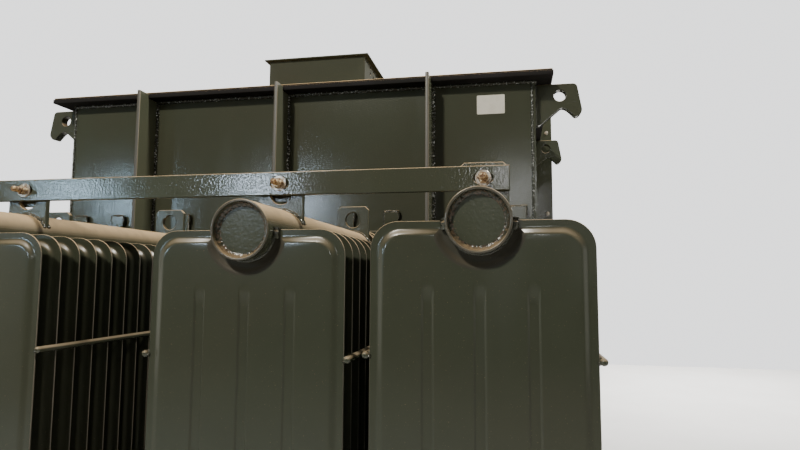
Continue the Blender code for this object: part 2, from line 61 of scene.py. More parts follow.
# Radiators
BANK_COUNT = 4
PANEL_COUNT = 14
PANEL_PITCH = 0.04116
PANEL_LEAN = 0.12
PANEL_WIDTH = 0.300
PANEL_OVER_AXIS = 0.0015
PANEL_CORNER_R = 0.038
PANEL_CORNER_SHARE = 0.6
PANEL_RIM = 0.0024
PANEL_RIM_SOFT = 0.00048
PANEL_SEAM = 0.0095
PANEL_BEVEL = 0.0105
PANEL_BODY = 0.004
PANEL_ROLL = 0.008
ROLL_SHARE = 0.16
ROLL_SPACING = 1.4
NOTCH_ROLL_SHARE = 0.25
PANEL_NOTCH_R = 0.053
HEADER_R = 0.04445
HEADER_PROUD = 0.027
HEADER_RECESS = 0.012
HEADER_WALL = 0.0040
LIP_ROUND = 0.0012
LIP_OUT = 0.00048
LIP_BACK = 0.00036
GROOVE_COUNT = 3
GROOVE_PITCH = 0.070
GROOVE_WIDTH = 0.018
GROOVE_WALL = 0.0032
GROOVE_DEPTH = 0.0030
GROOVE_MARGIN = 0.078
GROOVE_RAMP = 0.030
FACE_GUARD = 0.0015

# The fillet of the header discs: its size, its curve in shares out and forward, and its lumps
DISC_FILLET = 0.0065
FILLET_CURVE = ((0, 0), (0.15, 0), (0.35, 0.08), (0.65, 0.28), (0.86, 0.58), (1, 1))
FILLET_TURNS = 7
FILLET_LUMP = 0.0016
FILLET_WAVES = ((2.1, 1.0), (5.3, 0.7))

# Steps that round shapes are drawn in
CORNER_STEPS = 9
NOTCH_STEPS = 20
BEVEL_STEPS = 6
ROLL_STEPS = 5
GROOVE_STEPS = 5
GROOVE_END_STEPS = 8
PIPE_STEPS = 72
HOLE_STEPS = 36
SMALL_STEPS = 20
SLOT_END_STEPS = 10
SEAM_STEPS = 40
DISC_STEPS = 28
ROD_STEPS = 16
BEND_STEPS = 5
BEAD_SIDES = 8
EDGE_STEPS = 3

# Limits of the mesh helpers: mitres, rounded corners, merged points, and angles that stay smooth
MITRE_LIMIT = 0.35
BEND_LIMIT = 0.48
MERGE = 1e-6
SHARP = 34
ROUND = 60

# Plates and small pieces
PLATE_EDGE = 0.0012
COVER_EDGE = 0.0023
BAR_EDGE = 0.0016
WASHER_EDGE = 0.0006
FLANGE_SEAT = 0.060
STIFFENER_EDGE_SHARE = 0.22
# The front strip of each stiffener that takes the painted highlight: how far behind the front its faces'
# centres may lie, and how far they may turn aside
STIFFENER_FRONT = 0.0016
STIFFENER_FACING = 0.75
LUG_CHAMFER = 0.009
LUG_TOP = 0.107
LUG_HOLE_R = 0.019
LUG_HOLE_UP = 0.074
HOOK_HOLE_R = 0.016
HOOK_HOLE_OUT = 0.066
HOOK_HOLE_DROP = 0.032
HOOK_BEND = 0.011
HOOK_SHARES = (
    (0, 0), (0.89, 0), (1, 0.69), (0.91, 0.80), (0.84, 0.82),
    (0.76, 0.72), (0.66, 0.615), (0.56, 0.575), (0.10, 1), (0, 1),
)
BOX_SHEET = 0.003
BOX_EDGE = 0.0005
LID_EDGE = 0.0008
BOX_HOLES_BACK = (0.316, 0.359, 0.404)
BOX_HOLES_UP = (0.168, 0.148)
BOX_HOLE_R = 0.0058
ROD_R = 0.005
ROD_DOME = 0.0025
ROD_TIP_SHARES = ((0.35, 0), (0.75, 0.35), (1, 1))
EAR_OUT = 0.062
EAR_WIDTH = 0.038
EAR_TOP = 0.112
NOZZLE_LOW = 0.084
NOZZLE_HIGH = 0.060
NOZZLE_HALF_WIDTH = 0.081
EAR_THICK = 0.014
VALVE_FLANGE_R = 0.055
VALVE_FLANGE = 0.012
VALVE_EDGE = 0.0015
VALVE_BODY_R = 0.050
VALVE_STUB_R = 0.0445
VALVE_BOLT_CIRCLE = 0.0497
VALVE_BOLT_R = 0.0042
VALVE_BOLTS = 8
GAP = 0.0003

# Bolts of the terminal compartment
SIDE_BOLT_R = 0.0075
SIDE_BOLT_RIM = 0.002
SIDE_BOLT_DOME = 0.004
SIDE_BOLT_INSET = 0.0195
SIDE_BOLT_DROP = 0.0881
SIDE_BOLT_STEP = 0.3183

# Bolts on the brace bar
WASHER_R = 0.0128
WASHER_THICK = 0.0018
PLATE_WASHER = 0.050
PLATE_WASHER_DROP = 0.029
NUT_R = 0.0088
NUT_THICK = 0.008
REAR_NUT_SHARE = 0.8
STUD_R = 0.0050
STUD_PROUD = 0.019
STUD_START = 0.0048
THREAD_PITCH = 0.0017
SLOT_LENGTH = 0.030
SLOT_HALF_HEIGHT = 0.0075

# Shapes of bolts in shares: height and radius up a nut, radius and height of the rest
NUT_SHARES = ((0.0, 0.97), (0.10, 1.0), (0.84, 1.0), (1.0, 0.90))
DOME_SHARES = ((0.72, 0.62), (0.36, 0.93))
RIM_SOFT_SHARES = (0.3, 0.2)
THREAD_ROOT_SHARE = 0.86
STUD_TIP_SHARES = (0.6, 0.2)

# The bare sticker, in x and z
STICKER_LOW = (0.541, 2.042)
STICKER_HIGH = (0.615, 2.094)
STICKER_CORNER = 0.003
STICKER_PROUD = 0.0004
STICKER_EDGE = 0.0001

# Welds: radius of each kind of bead, its ripple, and how it wavers and lumps
WALL_WELD_R = 0.0052
CORNER_WELD_R = 0.00364
PIPE_WELD_R = 0.0032
PANEL_WELD_R = 0.0024
SEAM_LUMP_R = 0.0055
ROD_WELD_R = 0.0028
EAR_WELD_R = 0.0042
NOZZLE_WELD_R = 0.0040
BEAD_STEP = 0.0030
BEAD_RIPPLE = 0.007
BEAD_SWELL = 0.13
WAVER = 0.30
WAVER_SCALE = 160
LUMP = 0.22
LUMP_SCALE = 420
SIDE_SHIFT = 3.1
STIFFENER_RIPPLE = 0.010
STIFFENER_SWELL = 0.32
LUMP_SWELL = 0.3
RIM_SWELL = 0.05

# Where the welds lie; the last two give the ends of a bead: back and up, and out, back and up
WELD_OUT = 0.0005
EAR_WELD_SHARE = 0.72
EAR_WELD_TAIL = 0.020
STIFFENER_WELD_DROP = 0.004
RIGHT_WELD_INSET = 0.0085
RIM_WELD_OUT = 0.002
ROD_WELD = ((-0.0025, -0.0035), (0.0025, 0.0035))
SEAM_LUMP = ((0.001, -0.004, -0.012), (0.002, -0.002, 0.004))

# Light: strength of the hall all round, in front, at the sides and overhead, and of the pale backdrop
HALL_LOW = 0.006
HALL_FRONT = 0.08
HALL_SIDE = 1.1
HALL_HIGH = 0.15
BACKDROP = 1.9
HALL_TINT = (1.0, 0.97, 0.86)
BACKDROP_TINT = (0.985, 0.99, 1.0)

# Where each of those bands of light starts and is full, in shares of the direction
FRONT_SPAN = (-0.35, -0.90)
FRONT_FLOOR = (-0.25, 0.05)
FRONT_ROOF = (0.60, 0.35)
HIGH_SPAN = (0.30, 0.95)
SIDE_SPAN = (0.62, 0.86)
SIDE_FLOOR = (-0.22, -0.04)
SIDE_ROOF = (0.34, 0.14)

# Lamps: name, place, target, size, power, colour, and the spread where it is narrow
TANK_MIDDLE = (0.0, -0.2, 1.7)
LAMPS = (
    ("overhead", (3.0, -0.45, 5.6), TANK_MIDDLE, (0.4, 0.4), 230, (1.0, 0.97, 0.90)),
    ("key", (-0.70, -3.4, 3.9), (0.0, -0.6, 1.6), (0.25, 0.25), 120, (1.0, 0.96, 0.86)),
    ("left_bay", (-5.2, -6.8, 2.75), TANK_MIDDLE, (0.45, 0.35), 30, (0.54, 0.79, 1.0)),
    ("middle_bay", (-2.3, -6.3, 2.65), TANK_MIDDLE, (0.35, 0.3), 26, (0.68, 0.83, 1.0)),
    ("right_bay", (0.70, -6.2, 2.7), TANK_MIDDLE, (0.35, 0.3), 7.5, (0.95, 0.96, 1.0)),
    ("rear", (2.5, 5.5, 5.0), TANK_MIDDLE, (3.0, 3.0), 160, (1.0, 0.98, 0.95)),
    ("floor_wash", (3.5, 8.0, 7.5), (3.5, 8.0, 0.0), (5.0, 5.0), 620, (1.0, 0.99, 0.97), 90),
)

FLOOR_HALF = 10
FLOOR_GLOW = 0.10
FLOOR_TINT = (1.0, 0.98, 0.95)
FLOOR_TONES = ((0.78, 0.77, 0.75), (0.83, 0.82, 0.80))

# Colours of the paint, dust, metal and paper, and of the painted highlights and painted shade
OLIVE = (0.052, 0.057, 0.037)
OLIVE_PANEL = (0.047, 0.052, 0.034)
# Near black, far darker than the tank's olive: the flange and cover take it so that their front edges look
# as dark as their undersides
RIM_OLIVE = (0.017, 0.016, 0.015)
# Light tan grey for the stiffeners' front strips: a painted highlight along their rounded front edges
FRONT_HIGHLIGHT_TONE = (0.080, 0.074, 0.056)
# Lighter tan olive for the panels' rounded rims: a painted highlight where the folded rim catches the light
RIM_HIGHLIGHT_TONE = (0.105, 0.098, 0.072)
# Lighter brown olive for the headers' lips: a painted highlight on the lip's rounded edge
LIP_HIGHLIGHT_TONE = (0.066, 0.060, 0.043)
# Darker, browner olive for the panel round and under each header: painted shade where the pipe shades the
# panel
SHADED_OLIVE = (0.038, 0.036, 0.026)
BROWNED_SHARES = (1.19, 0.91, 0.92)
PALE_STREAK_SHARES = (2.02, 1.96, 2.65)
DUST = (0.58, 0.415, 0.235)
WELD_PAINT = (0.036, 0.038, 0.028)
# Light colours for weld lumps: painted glints of light; the palest is for welds that lie in shade
WELD_GLINT = (0.15, 0.135, 0.10)
WALL_GLINT = (0.34, 0.35, 0.33)
SHADED_GLINT = (0.90, 0.92, 0.90)
WELD_RUST = (0.085, 0.058, 0.038)
PLATING = (0.60, 0.50, 0.34)
YELLOW_RUST = (0.42, 0.27, 0.11)
BROWN_RUST = (0.12, 0.050, 0.026)
ZINC_TONES = ((0.52, 0.48, 0.42), (0.24, 0.18, 0.12))
PAPER_TONES = ((0.68, 0.64, 0.55), (0.50, 0.46, 0.38))
CORE_TONES = ((0.22, 0.20, 0.17), (0.36, 0.33, 0.28))

# Random unevenness of the colour: its noise, where its smooth step starts and ends, and its share
PATCHES = dict(scale=3.2, detail=2.0, start=0.38, end=0.68, share=0.22)
MOTTLE = dict(scale=21.0, detail=4.0, start=0.30, end=0.72, share=0.14)
# Pale bluish upright streaks, laid at random over every paint
PALE_STREAKS = dict(scale=9.0, detail=2.0, rough=0.5, stretch=(1.0, 1.0, 0.22), start=0.58, end=0.72, share=0.14)
SPECKS = dict(scale=620.0, detail=1.0, start=0.74, end=0.80, share=0.35)
DUSTY_ROUGHNESS = 0.75


# Materials

class Tree:
    """A short way to build the node tree of a material or of the world."""

    def __init__(self, owner, coordinates):
        owner.use_nodes = True
        self.tree = owner.node_tree
        self.place = self.add("ShaderNodeTexCoord").outputs[coordinates]

    def feed(self, socket, value):
        """Give a socket another node's output, a colour or a number."""
        if isinstance(value, bpy.types.NodeSocket):
            self.tree.links.new(value, socket)
        else:
            socket.default_value = (*value, 1.0) if socket.type == "RGBA" else value

    def add(self, kind, inputs=None, **settings):
        node = self.tree.nodes.new(kind)
        for key, value in settings.items():
            setattr(node, key, value)
        for key, value in (inputs or {}).items():
            self.feed(node.inputs[key], value)
        return node

    def noise(self, scale, detail=3.0, rough=0.55, stretch=None):
        place = self.place
        if stretch:
            place = self.add("ShaderNodeMapping", {"Vector": place, "Scale": stretch}).outputs["Vector"]
        inputs = {"Vector": place, "Scale": scale, "Detail": detail, "Roughness": rough}
        return self.add("ShaderNodeTexNoise", inputs).outputs["Fac"]

    def ramp(self, value, start, end, out_low=0.0, out_high=1.0):
        """A smooth step of a value."""
        inputs = {"Value": value, "From Min": start, "From Max": end, "To Min": out_low, "To Max": out_high}
        return self.add("ShaderNodeMapRange", inputs, interpolation_type="SMOOTHSTEP").outputs["Result"]

    def calculate(self, operation, first, second=0.0):
        return self.add("ShaderNodeMath", {0: first, 1: second}, operation=operation).outputs["Value"]

    def multiply(self, first, second):
        return self.calculate("MULTIPLY", first, second)

    def mix(self, amount, first, second):
        return self.add("ShaderNodeMix", {0: amount, 6: first, 7: second}, data_type="RGBA").outputs[2]

    def spots(self, start, end, share=1.0, **noise_settings):
        """A mask of noise, cut by a smooth step and weakened by a share."""
        return self.multiply(self.ramp(self.noise(**noise_settings), start, end), share)


class Finish(Tree):
    """A material, built node by node round its shader."""

    def __init__(self, name, roughness, metallic=0.0, specular=0.5):
        self.made = bpy.data.materials.new(name)
        super().__init__(self.made, "Object")
        self.inputs = self.tree.nodes["Principled BSDF"].inputs
        self.inputs["Roughness"].default_value = roughness
        self.inputs["Metallic"].default_value = metallic
        self.inputs["Specular IOR Level"].default_value = specular

    def upward(self, start, end):
        """A mask of where the surface faces up."""
        normal = self.add("ShaderNodeNewGeometry").outputs["Normal"]
        parts = self.add("ShaderNodeSeparateXYZ", {"Vector": normal})
        return self.ramp(parts.outputs["Z"], start, end)

    def dust(self, tone, start, end, share, depth):
        return self.mix(self.multiply(self.upward(start, end), share), tone, shade(DUST, depth))

    def bump(self, height, strength, distance):
        inputs = {"Height": height, "Strength": strength, "Distance": distance}
        return self.add("ShaderNodeBump", inputs).outputs["Normal"]

    def finish(self, color, normal=None, roughness=None):
        for key, value in (("Base Color", color), ("Normal", normal), ("Roughness", roughness)):
            if value:
                self.feed(self.inputs[key], value)
        return self.made


def shade(color, factor):
    return tuple(channel * factor for channel in color)


def blend(color, shares):
    return tuple(channel * share for channel, share in zip(color, shares))


def paint(name, color, peel, dust_share, gloss=0.12, dust_span=(0.05, 0.60), specular=0.5, grain=300.0):
    """Gloss paint with orange peel, faint patches, pale upright streaks and specks, and dust where the
    surface faces up.
    """
    tree = Finish(name, gloss, specular=specular)
    tone = tree.mix(tree.spots(**PATCHES), color, blend(color, BROWNED_SHARES))
    tone = tree.mix(tree.spots(**MOTTLE), tone, shade(color, 0.75))
    tone = tree.mix(tree.spots(**PALE_STREAKS), tone, blend(color, PALE_STREAK_SHARES))
    tone = tree.mix(tree.spots(**SPECKS), tone, shade(DUST, 0.6))
    uneven = tree.ramp(tree.noise(scale=38.0, detail=5.0), 0.20, 0.62, out_low=0.78)
    dusty = tree.multiply(tree.multiply(tree.upward(*dust_span), uneven), dust_share)
    rough = tree.ramp(dusty, 0.0, 0.5, out_low=gloss, out_high=DUSTY_ROUGHNESS)
    normal = tree.bump(tree.noise(grain, detail=1.0, rough=0.5), 1.0, distance=peel)
    return tree.finish(tree.mix(dusty, tone, DUST), normal, rough)


def weld_metal(name, colors, gloss, span, share, relief, lumps, dust=None):
    """Painted weld metal whose lumps take a second colour, a painted glint of light or rust, and dust where
    the surface faces up.
    """
    tree = Finish(name, gloss)
    height = tree.noise(**lumps)
    tone = tree.mix(tree.multiply(tree.ramp(height, *span), share), *colors)
    if dust:
        tone = tree.dust(tone, **dust)
    return tree.finish(tone, tree.bump(height, 1.0, relief))


def rusty_finish():
    """Plated steel gone yellow and brown with rust."""
    tree = Finish("plated_and_rusty", 0.42, metallic=0.55)
    spots = tree.spots(scale=240.0, detail=5.0, rough=0.65, start=0.42, end=0.60)
    broad = tree.spots(scale=70.0, start=0.35, end=0.65)
    tone = tree.mix(broad, PLATING, YELLOW_RUST)
    tone = tree.mix(tree.multiply(spots, 0.9), tone, BROWN_RUST)
    rough = tree.ramp(spots, 0.0, 1.0, out_low=0.32, out_high=0.80)
    return tree.finish(tone, tree.bump(spots, 0.6, 0.0004), rough)


def zinc_finish():
    """Pale zinc plating with dull blotches."""
    tree = Finish("zinc", 0.34, metallic=0.70)
    blotches = tree.spots(scale=150.0, detail=4.0, rough=0.6, start=0.40, end=0.66)
    rough = tree.ramp(blotches, 0.0, 1.0, out_low=0.28, out_high=0.60)
    return tree.finish(tree.mix(blotches, *ZINC_TONES), tree.bump(blotches, 0.4, 0.0003), rough)


def sticker_finish():
    """Bare cream paper, faintly soiled."""
    tree = Finish("cream_paper", 0.55)
    soil = tree.spots(scale=60.0, detail=4.0, start=0.35, end=0.75)
    return tree.finish(tree.mix(tree.multiply(soil, 0.35), *PAPER_TONES), tree.bump(soil, 0.08, 0.0004))


def core_finish():
    """Stacked core sheets: fine level lines on bare steel."""
    tree = Finish("core_sheets", 0.45, metallic=0.85)
    lines = tree.noise(scale=14.0, detail=2.0, rough=0.5, stretch=(1.0, 30.0, 30.0))
    return tree.finish(tree.mix(lines, *CORE_TONES), tree.bump(lines, 0.2, 0.0008))


def floor_finish():
    tree = Finish("pale_floor", 0.75)
    tree.feed(tree.inputs["Emission Color"], FLOOR_TINT)
    tree.feed(tree.inputs["Emission Strength"], FLOOR_GLOW)
    return tree.finish(tree.mix(tree.spots(scale=0.9, start=0.3, end=0.7), *FLOOR_TONES))


TANK_PAINT = paint("tank_paint", OLIVE, 0.00021, 0.75, grain=290.0)
BAR_PAINT = paint("bar_paint", OLIVE, 0.00021, 0.80, gloss=0.11, grain=290.0)
# The stiffeners take the tank's olive made 1.7 times lighter: painted light on their side faces, which catch
# light from above and the right.
STIFFENER_LIT_PAINT = paint("stiffener_painted_light", shade(OLIVE, 1.7), 0.00030, 0.60, gloss=0.20)
# A lighter paint on the stiffeners' front strips: a painted highlight where their rounded front edges catch
# the light.
STIFFENER_FRONT_HIGHLIGHT = paint("stiffener_front_highlight", FRONT_HIGHLIGHT_TONE, 0.00020, 0.60, gloss=0.40)
BOX_PAINT = paint("box_paint", shade(OLIVE, 0.90), 0.00008, 0.75, gloss=0.70, specular=0.15)
COVER_PAINT = paint(
    "cover_paint", RIM_OLIVE, 0.00012, 0.98, gloss=0.70, dust_span=(0.02, 0.45), specular=0.08
)
LID_PAINT = paint(
    "lid_paint", shade(OLIVE, 0.95), 0.00008, 0.60, gloss=0.70, dust_span=(0.40, 0.95), specular=0.12
)
RIM_PAINT = paint("rim_paint", RIM_OLIVE, 0.00012, 0.90, gloss=0.70, dust_span=(0.50, 0.95), specular=0.08)
LUG_PAINT = paint("lug_paint", OLIVE, 0.00030, 0.80, gloss=0.16)
PANEL_PAINT = paint("panel_paint", shade(OLIVE_PANEL, 0.87), 0.00005, 0.34, gloss=0.16)
# Round and under the headers the panels take a darker, matte, almost dustless paint: painted shade of the
# pipe's shadow, and a real lack of dust that the pipe keeps off.
UNDER_PIPE_SHADE_PAINT = paint("dust_free_painted_shade", SHADED_OLIVE, 0.00012, 0.05, gloss=0.55, specular=0.12)
# The panels' rims take a lighter paint: a painted highlight along the rounded seam edges, with dust on their
# tops.
PANEL_RIM_HIGHLIGHT = paint("panel_rim_painted_highlight", RIM_HIGHLIGHT_TONE, 0.00005, 0.60, gloss=0.45)
# The header lips take a lighter paint: a painted highlight round the pipe's open end, with some dust.
LIP_HIGHLIGHT_PAINT = paint("lip_painted_highlight", LIP_HIGHLIGHT_TONE, 0.00005, 0.35, gloss=0.20)
PIPE_PAINT = paint("pipe_paint", OLIVE_PANEL, 0.00005, 0.97, gloss=0.18, dust_span=(0.08, 0.92))
DISC_PAINT = paint("disc_paint", OLIVE_PANEL, 0.00024, 0.30, gloss=0.22, specular=0.17, grain=190.0)
WELD = weld_metal(
    "weld_paint", (WELD_PAINT, WELD_GLINT), gloss=0.14, span=(0.50, 0.75), share=0.5, relief=0.0005,
    lumps=dict(scale=420.0), dust=dict(start=0.45, end=0.95, share=0.50, depth=0.75),
)
# The wall and stiffener welds take light glint colours on their lumps: painted highlights, palest on the
# stiffener welds in shade.
RIPPLES = dict(gloss=0.16, span=(0.56, 0.66), share=0.85, relief=0.0010, lumps=dict(scale=190.0, detail=2.0))
WALL_WELD = weld_metal("wall_weld_paint", (WELD_PAINT, WALL_GLINT), **RIPPLES)
SHADED_WELD = weld_metal("shaded_weld_paint", (WELD_PAINT, SHADED_GLINT), **RIPPLES)
# The fillet's base is the panel olive at 0.6, with darkened rust on its lumps: painted shade in the header's
# dark recess, over real rust, and dust where it faces up.
SHADED_RUSTY_FILLET = weld_metal(
    "rusty_fillet_painted_shade", (shade(OLIVE_PANEL, 0.6), WELD_RUST), gloss=0.22, span=(0.42, 0.62), share=1,
    relief=0.0007, lumps=dict(scale=260.0, detail=4.0, rough=0.6),
    dust=dict(start=0.20, end=0.90, share=0.60, depth=0.7),
)
RUSTY = rusty_finish()
ZINC = zinc_finish()
STICKER = sticker_finish()
CORE = core_finish()
FLOOR = floor_finish()


# Mesh helpers

def shown(name, data):
    item = bpy.data.objects.new(name, data)
    bpy.context.scene.collection.objects.link(item)
    return item


def mesh_of(name, shape):
    mesh = bpy.data.meshes.new(name)
    shape.to_mesh(mesh)
    shape.free()
    return mesh


def put(name, shape, finish, angle=SHARP, more=()):
    """Turn a bmesh into a piece that rides on the part and takes its finish from a slot."""
    bmesh.ops.remove_doubles(shape, verts=shape.verts, dist=MERGE)
    bmesh.ops.recalc_face_normals(shape, faces=shape.faces)
    mesh = mesh_of(name, shape)
    for each in (finish, *more):
        mesh.materials.append(each)
    smooth = [face.use_smooth for face in mesh.polygons]
    mesh.set_sharp_from_angle(angle=math.radians(angle))
    mesh.polygons.foreach_set("use_smooth", smooth)
    piece = shown(name, mesh)
    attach(piece, "root")
    return piece


def put_weld(name, shape):
    put(name, shape, WELD, ROUND)


def arc(centre, radius, start, end, steps):
    points = []
    for i in range(steps + 1):
        angle = math.radians(start + (end - start) * i / steps)
        points.append((centre[0] + radius * math.cos(angle), centre[1] + radius * math.sin(angle)))
    return points


def circle(centre, radius, steps=HOLE_STEPS):
    return arc(centre, radius, 0, 360 - 360 / steps, steps - 1)


def rectangle(low, high):
    return [(low[0], low[1]), (high[0], low[1]), (high[0], high[1]), (low[0], high[1])]


def area_of(loop):
    return sum(a[0] * b[1] - b[0] * a[1] for a, b in zip(loop, loop[1:] + loop[:1])) / 2


def rounded(loop, reach):
    """Turn each corner of a closed outline into a short curve."""
    curved = []
    count = len(loop)
    for i, point in enumerate(loop):
        corner = Vector(point)
        back = Vector(loop[i - 1]) - corner
        ahead = Vector(loop[(i + 1) % count]) - corner
        cut = min(reach, back.length * BEND_LIMIT, ahead.length * BEND_LIMIT)
        start = corner + back.normalized() * cut
        end = corner + ahead.normalized() * cut
        for k in range(BEND_STEPS + 1):
            t = k / BEND_STEPS
            place = start * (1 - t) ** 2 + corner * 2 * t * (1 - t) + end * t ** 2
            curved.append((place.x, place.y))
    return curved


def offset_loop(loop, distance):
    """Move a closed outline inward by a distance, along its mitres."""
    turn = 1 if area_of(loop) > 0 else -1
    moved = []
    count = len(loop)
    for i, point in enumerate(loop):
        before = (Vector(point) - Vector(loop[i - 1])).normalized()
        after = (Vector(loop[(i + 1) % count]) - Vector(point)).normalized()
        normal_a = Vector((-before.y, before.x)) * turn
        normal_b = Vector((-after.y, after.x)) * turn
        mitre = normal_a + normal_b
        mitre /= max(mitre.dot(normal_a), MITRE_LIMIT)
        moved.append((point[0] + mitre.x * distance, point[1] + mitre.y * distance))
    return moved


def skin(shape, near, far):
    """Join two rings of points by a band of smooth faces."""
    band = []
    for corners in zip(near, near[1:] + near[:1], far[1:] + far[:1], far):
        band.append(shape.faces.new(corners))
        band[-1].smooth = True
    return band


def loft(shape, rings, closed_ends=False):
    """Skin a row of equal rings of 3D points; the ends can be closed by one face each."""
    rows = [[shape.verts.new(point) for point in ring] for ring in rings]
    for near, far in zip(rows, rows[1:]):
        skin(shape, near, far)
    if closed_ends:
        shape.faces.new(rows[0][::-1])
        shape.faces.new(rows[-1])
    return rows


def mark(rows, index):
    """Give the faces that touch rows of points another of the piece's materials."""
    for row in rows:
        for vert in row:
            for face in vert.link_faces:
                face.material_index = index


def fill_between(shape, rows, normal):
    """Close a flat face that an outer row of points bounds, with the other rows as its holes."""
    edges = [shape.edges.get(ends) for row in rows for ends in zip(row, row[1:] + row[:1])]
    made = bmesh.ops.triangle_fill(shape, use_beauty=True, use_dissolve=False, edges=edges, normal=normal)
    for item in made["geom"]:
        if isinstance(item, bmesh.types.BMFace):
            item.smooth = False


def placed(plane, u, v, depth):
    """A 3D point from two coordinates in a plane and a depth along its normal."""
    return {"xz": (u, depth, v), "yz": (depth, u, v), "xy": (u, v, depth)}[plane]


NORMALS = {"xz": Vector((0, 1, 0)), "yz": Vector((1, 0, 0)), "xy": Vector((0, 0, 1))}


def edge_levels(edge, low, high):
    """Inset and depth of each step over a plate's rounded edges, from one face to the other."""
    near = []
    for i in range(EDGE_STEPS + 1):
        turn = math.radians(90 * i / EDGE_STEPS)
        near.append((edge * (1 - math.sin(turn)), low + edge * (1 - math.cos(turn))))
    far = [(inset, low + high - depth) for inset, depth in reversed(near)]
    return near + far


def plate(shape, plane, outline, low, high, holes=(), edge=PLATE_EDGE):
    """A flat plate with rounded edges and holes, between two depths."""
    fronts = []
    backs = []
    for index, loop in enumerate([outline, *holes]):
        inward = 1 if index == 0 else -1
        rings = []
        for inset, depth in edge_levels(edge, low, high):
            drawn = offset_loop(loop, inward * inset)
            rings.append([placed(plane, u, v, depth) for u, v in drawn])
        rows = loft(shape, rings)
        fronts.append(rows[0])
        backs.append(rows[-1])
    fill_between(shape, fronts, -NORMALS[plane])
    fill_between(shape, backs, NORMALS[plane])


def level_sheet(lowest, highest, edge=PLATE_EDGE, holes=()):
    shape = bmesh.new()
    plate(shape, "xy", rectangle(lowest.xy, highest.xy), lowest.z, highest.z, holes, edge)
    return shape


def bead(shape, points, radius, closed=False, ripple=BEAD_RIPPLE, swell=BEAD_SWELL, seed=0.0):
    """A rippled weld bead along a line of points."""
    line = resample([Vector(point) for point in points], BEAD_STEP, closed)
    rows = []
    count = len(line)
    travelled = 0.0
    for i, point in enumerate(line):
        ahead = line[(i + 1) % count] if closed or i < count - 1 else point
        behind = line[i - 1] if closed or i > 0 else point
        along = (ahead - behind).normalized()
        side = along.orthogonal().normalized()
        up = along.cross(side)
        wave = 1 + swell * math.sin(travelled / ripple * math.tau)
        wave += WAVER * noise.noise(point * WAVER_SCALE + Vector((seed, 0, 0)))
        row = []
        for k in range(BEAD_SIDES):
            angle = math.tau * k / BEAD_SIDES
            lump = 1 + LUMP * noise.noise(point * LUMP_SCALE + Vector((k * SIDE_SHIFT, seed, 0)))
            reach = radius * wave * lump
            row.append(point + side * math.cos(angle) * reach + up * math.sin(angle) * reach)
        rows.append([shape.verts.new(place) for place in row])
        travelled += (ahead - point).length
    for near, far in zip(rows, rows[1:]):
        skin(shape, near, far)
    if closed:
        skin(shape, rows[-1], rows[0])
    else:
        shape.faces.new(rows[0][::-1])
        shape.faces.new(rows[-1])


def resample(line, step, closed):
    """The same line in even steps."""
    if closed:
        line = line + [line[0]]
    result = []
    for start, end in zip(line, line[1:]):
        pieces = max(1, round((end - start).length / step))
        result += [start.lerp(end, i / pieces) for i in range(pieces)]
    if not closed:
        result.append(line[-1])
    return result


def turned(shape, centre, profile, steps=PIPE_STEPS, lump=None, closed_ends=False):
    """Turn a profile of (radius, y) pairs about an axis along Y through a centre in x and z."""
    rings = []
    for index, (radius, y) in enumerate(profile):
        ring = []
        for k in range(steps):
            angle = math.tau * k / steps
            back = lump(index, angle) if lump else 0.0
            across, up = radius * math.cos(angle), radius * math.sin(angle)
            ring.append((centre[0] + across, y + back, centre[1] + up))
        rings.append(ring)
    return loft(shape, rings, closed_ends)


def low(node):
    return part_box(node)[0]


def high(node):
    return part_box(node)[1]


# Places that the frame gives
WALL_Y = low("tank_front_wall").y
TANK_LEFT = low("tank_left_wall").x
TANK_RIGHT = high("tank_right_wall").x
TANK_BACK = high("tank_rear_wall").y
TANK_LOW = low("tank_floor").z
TANK_TOP = high("tank_front_wall").z
FLANGE_LOW, FLANGE_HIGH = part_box("rim_flange")
BAR_LOW, BAR_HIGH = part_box("brace_bar")


class Bank:
    """Where one radiator bank stands, from its node's box."""

    def __init__(self, number):
        lowest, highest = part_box(f"radiator_{number}")
        self.number = number
        self.x = (lowest.x + highest.x) / 2
        self.front = lowest.y
        self.back = highest.y
        self.top = highest.z - HEADER_R
        self.low = lowest.z + HEADER_R
        self.panel_front = self.front + HEADER_PROUD
        self.panel_low = self.low - PANEL_OVER_AXIS
        self.panel_high = self.top + PANEL_OVER_AXIS


BANKS = [Bank(number) for number in range(1, BANK_COUNT + 1)]


# Radiator banks

def panel_outline(bank, inset, notch_r):
    """A panel's outline in x and z, drawn in by an inset; its ends run straight where it has no notch."""
    half = PANEL_WIDTH / 2 - inset
    bend = PANEL_CORNER_R - inset * PANEL_CORNER_SHARE
    high_z = bank.panel_high - inset
    corner = arc((half - bend, high_z - bend), bend, 0, 90, CORNER_STEPS)
    reach = notch_r or PANEL_NOTCH_R
    dip = math.degrees(math.asin(max(bank.top - high_z, 0) / reach))
    notch = []
    for i in range(NOTCH_STEPS + 1):
        angle = math.radians(-dip - (180 - 2 * dip) * i / NOTCH_STEPS)
        z = bank.top + reach * math.sin(angle) if notch_r else high_z
        notch.append((reach * math.cos(angle), z))
    upper = corner + notch + [(-x, z) for x, z in reversed(corner)]
    middle = bank.panel_high + bank.panel_low
    return upper + [(-x, middle - z) for x, z in upper]


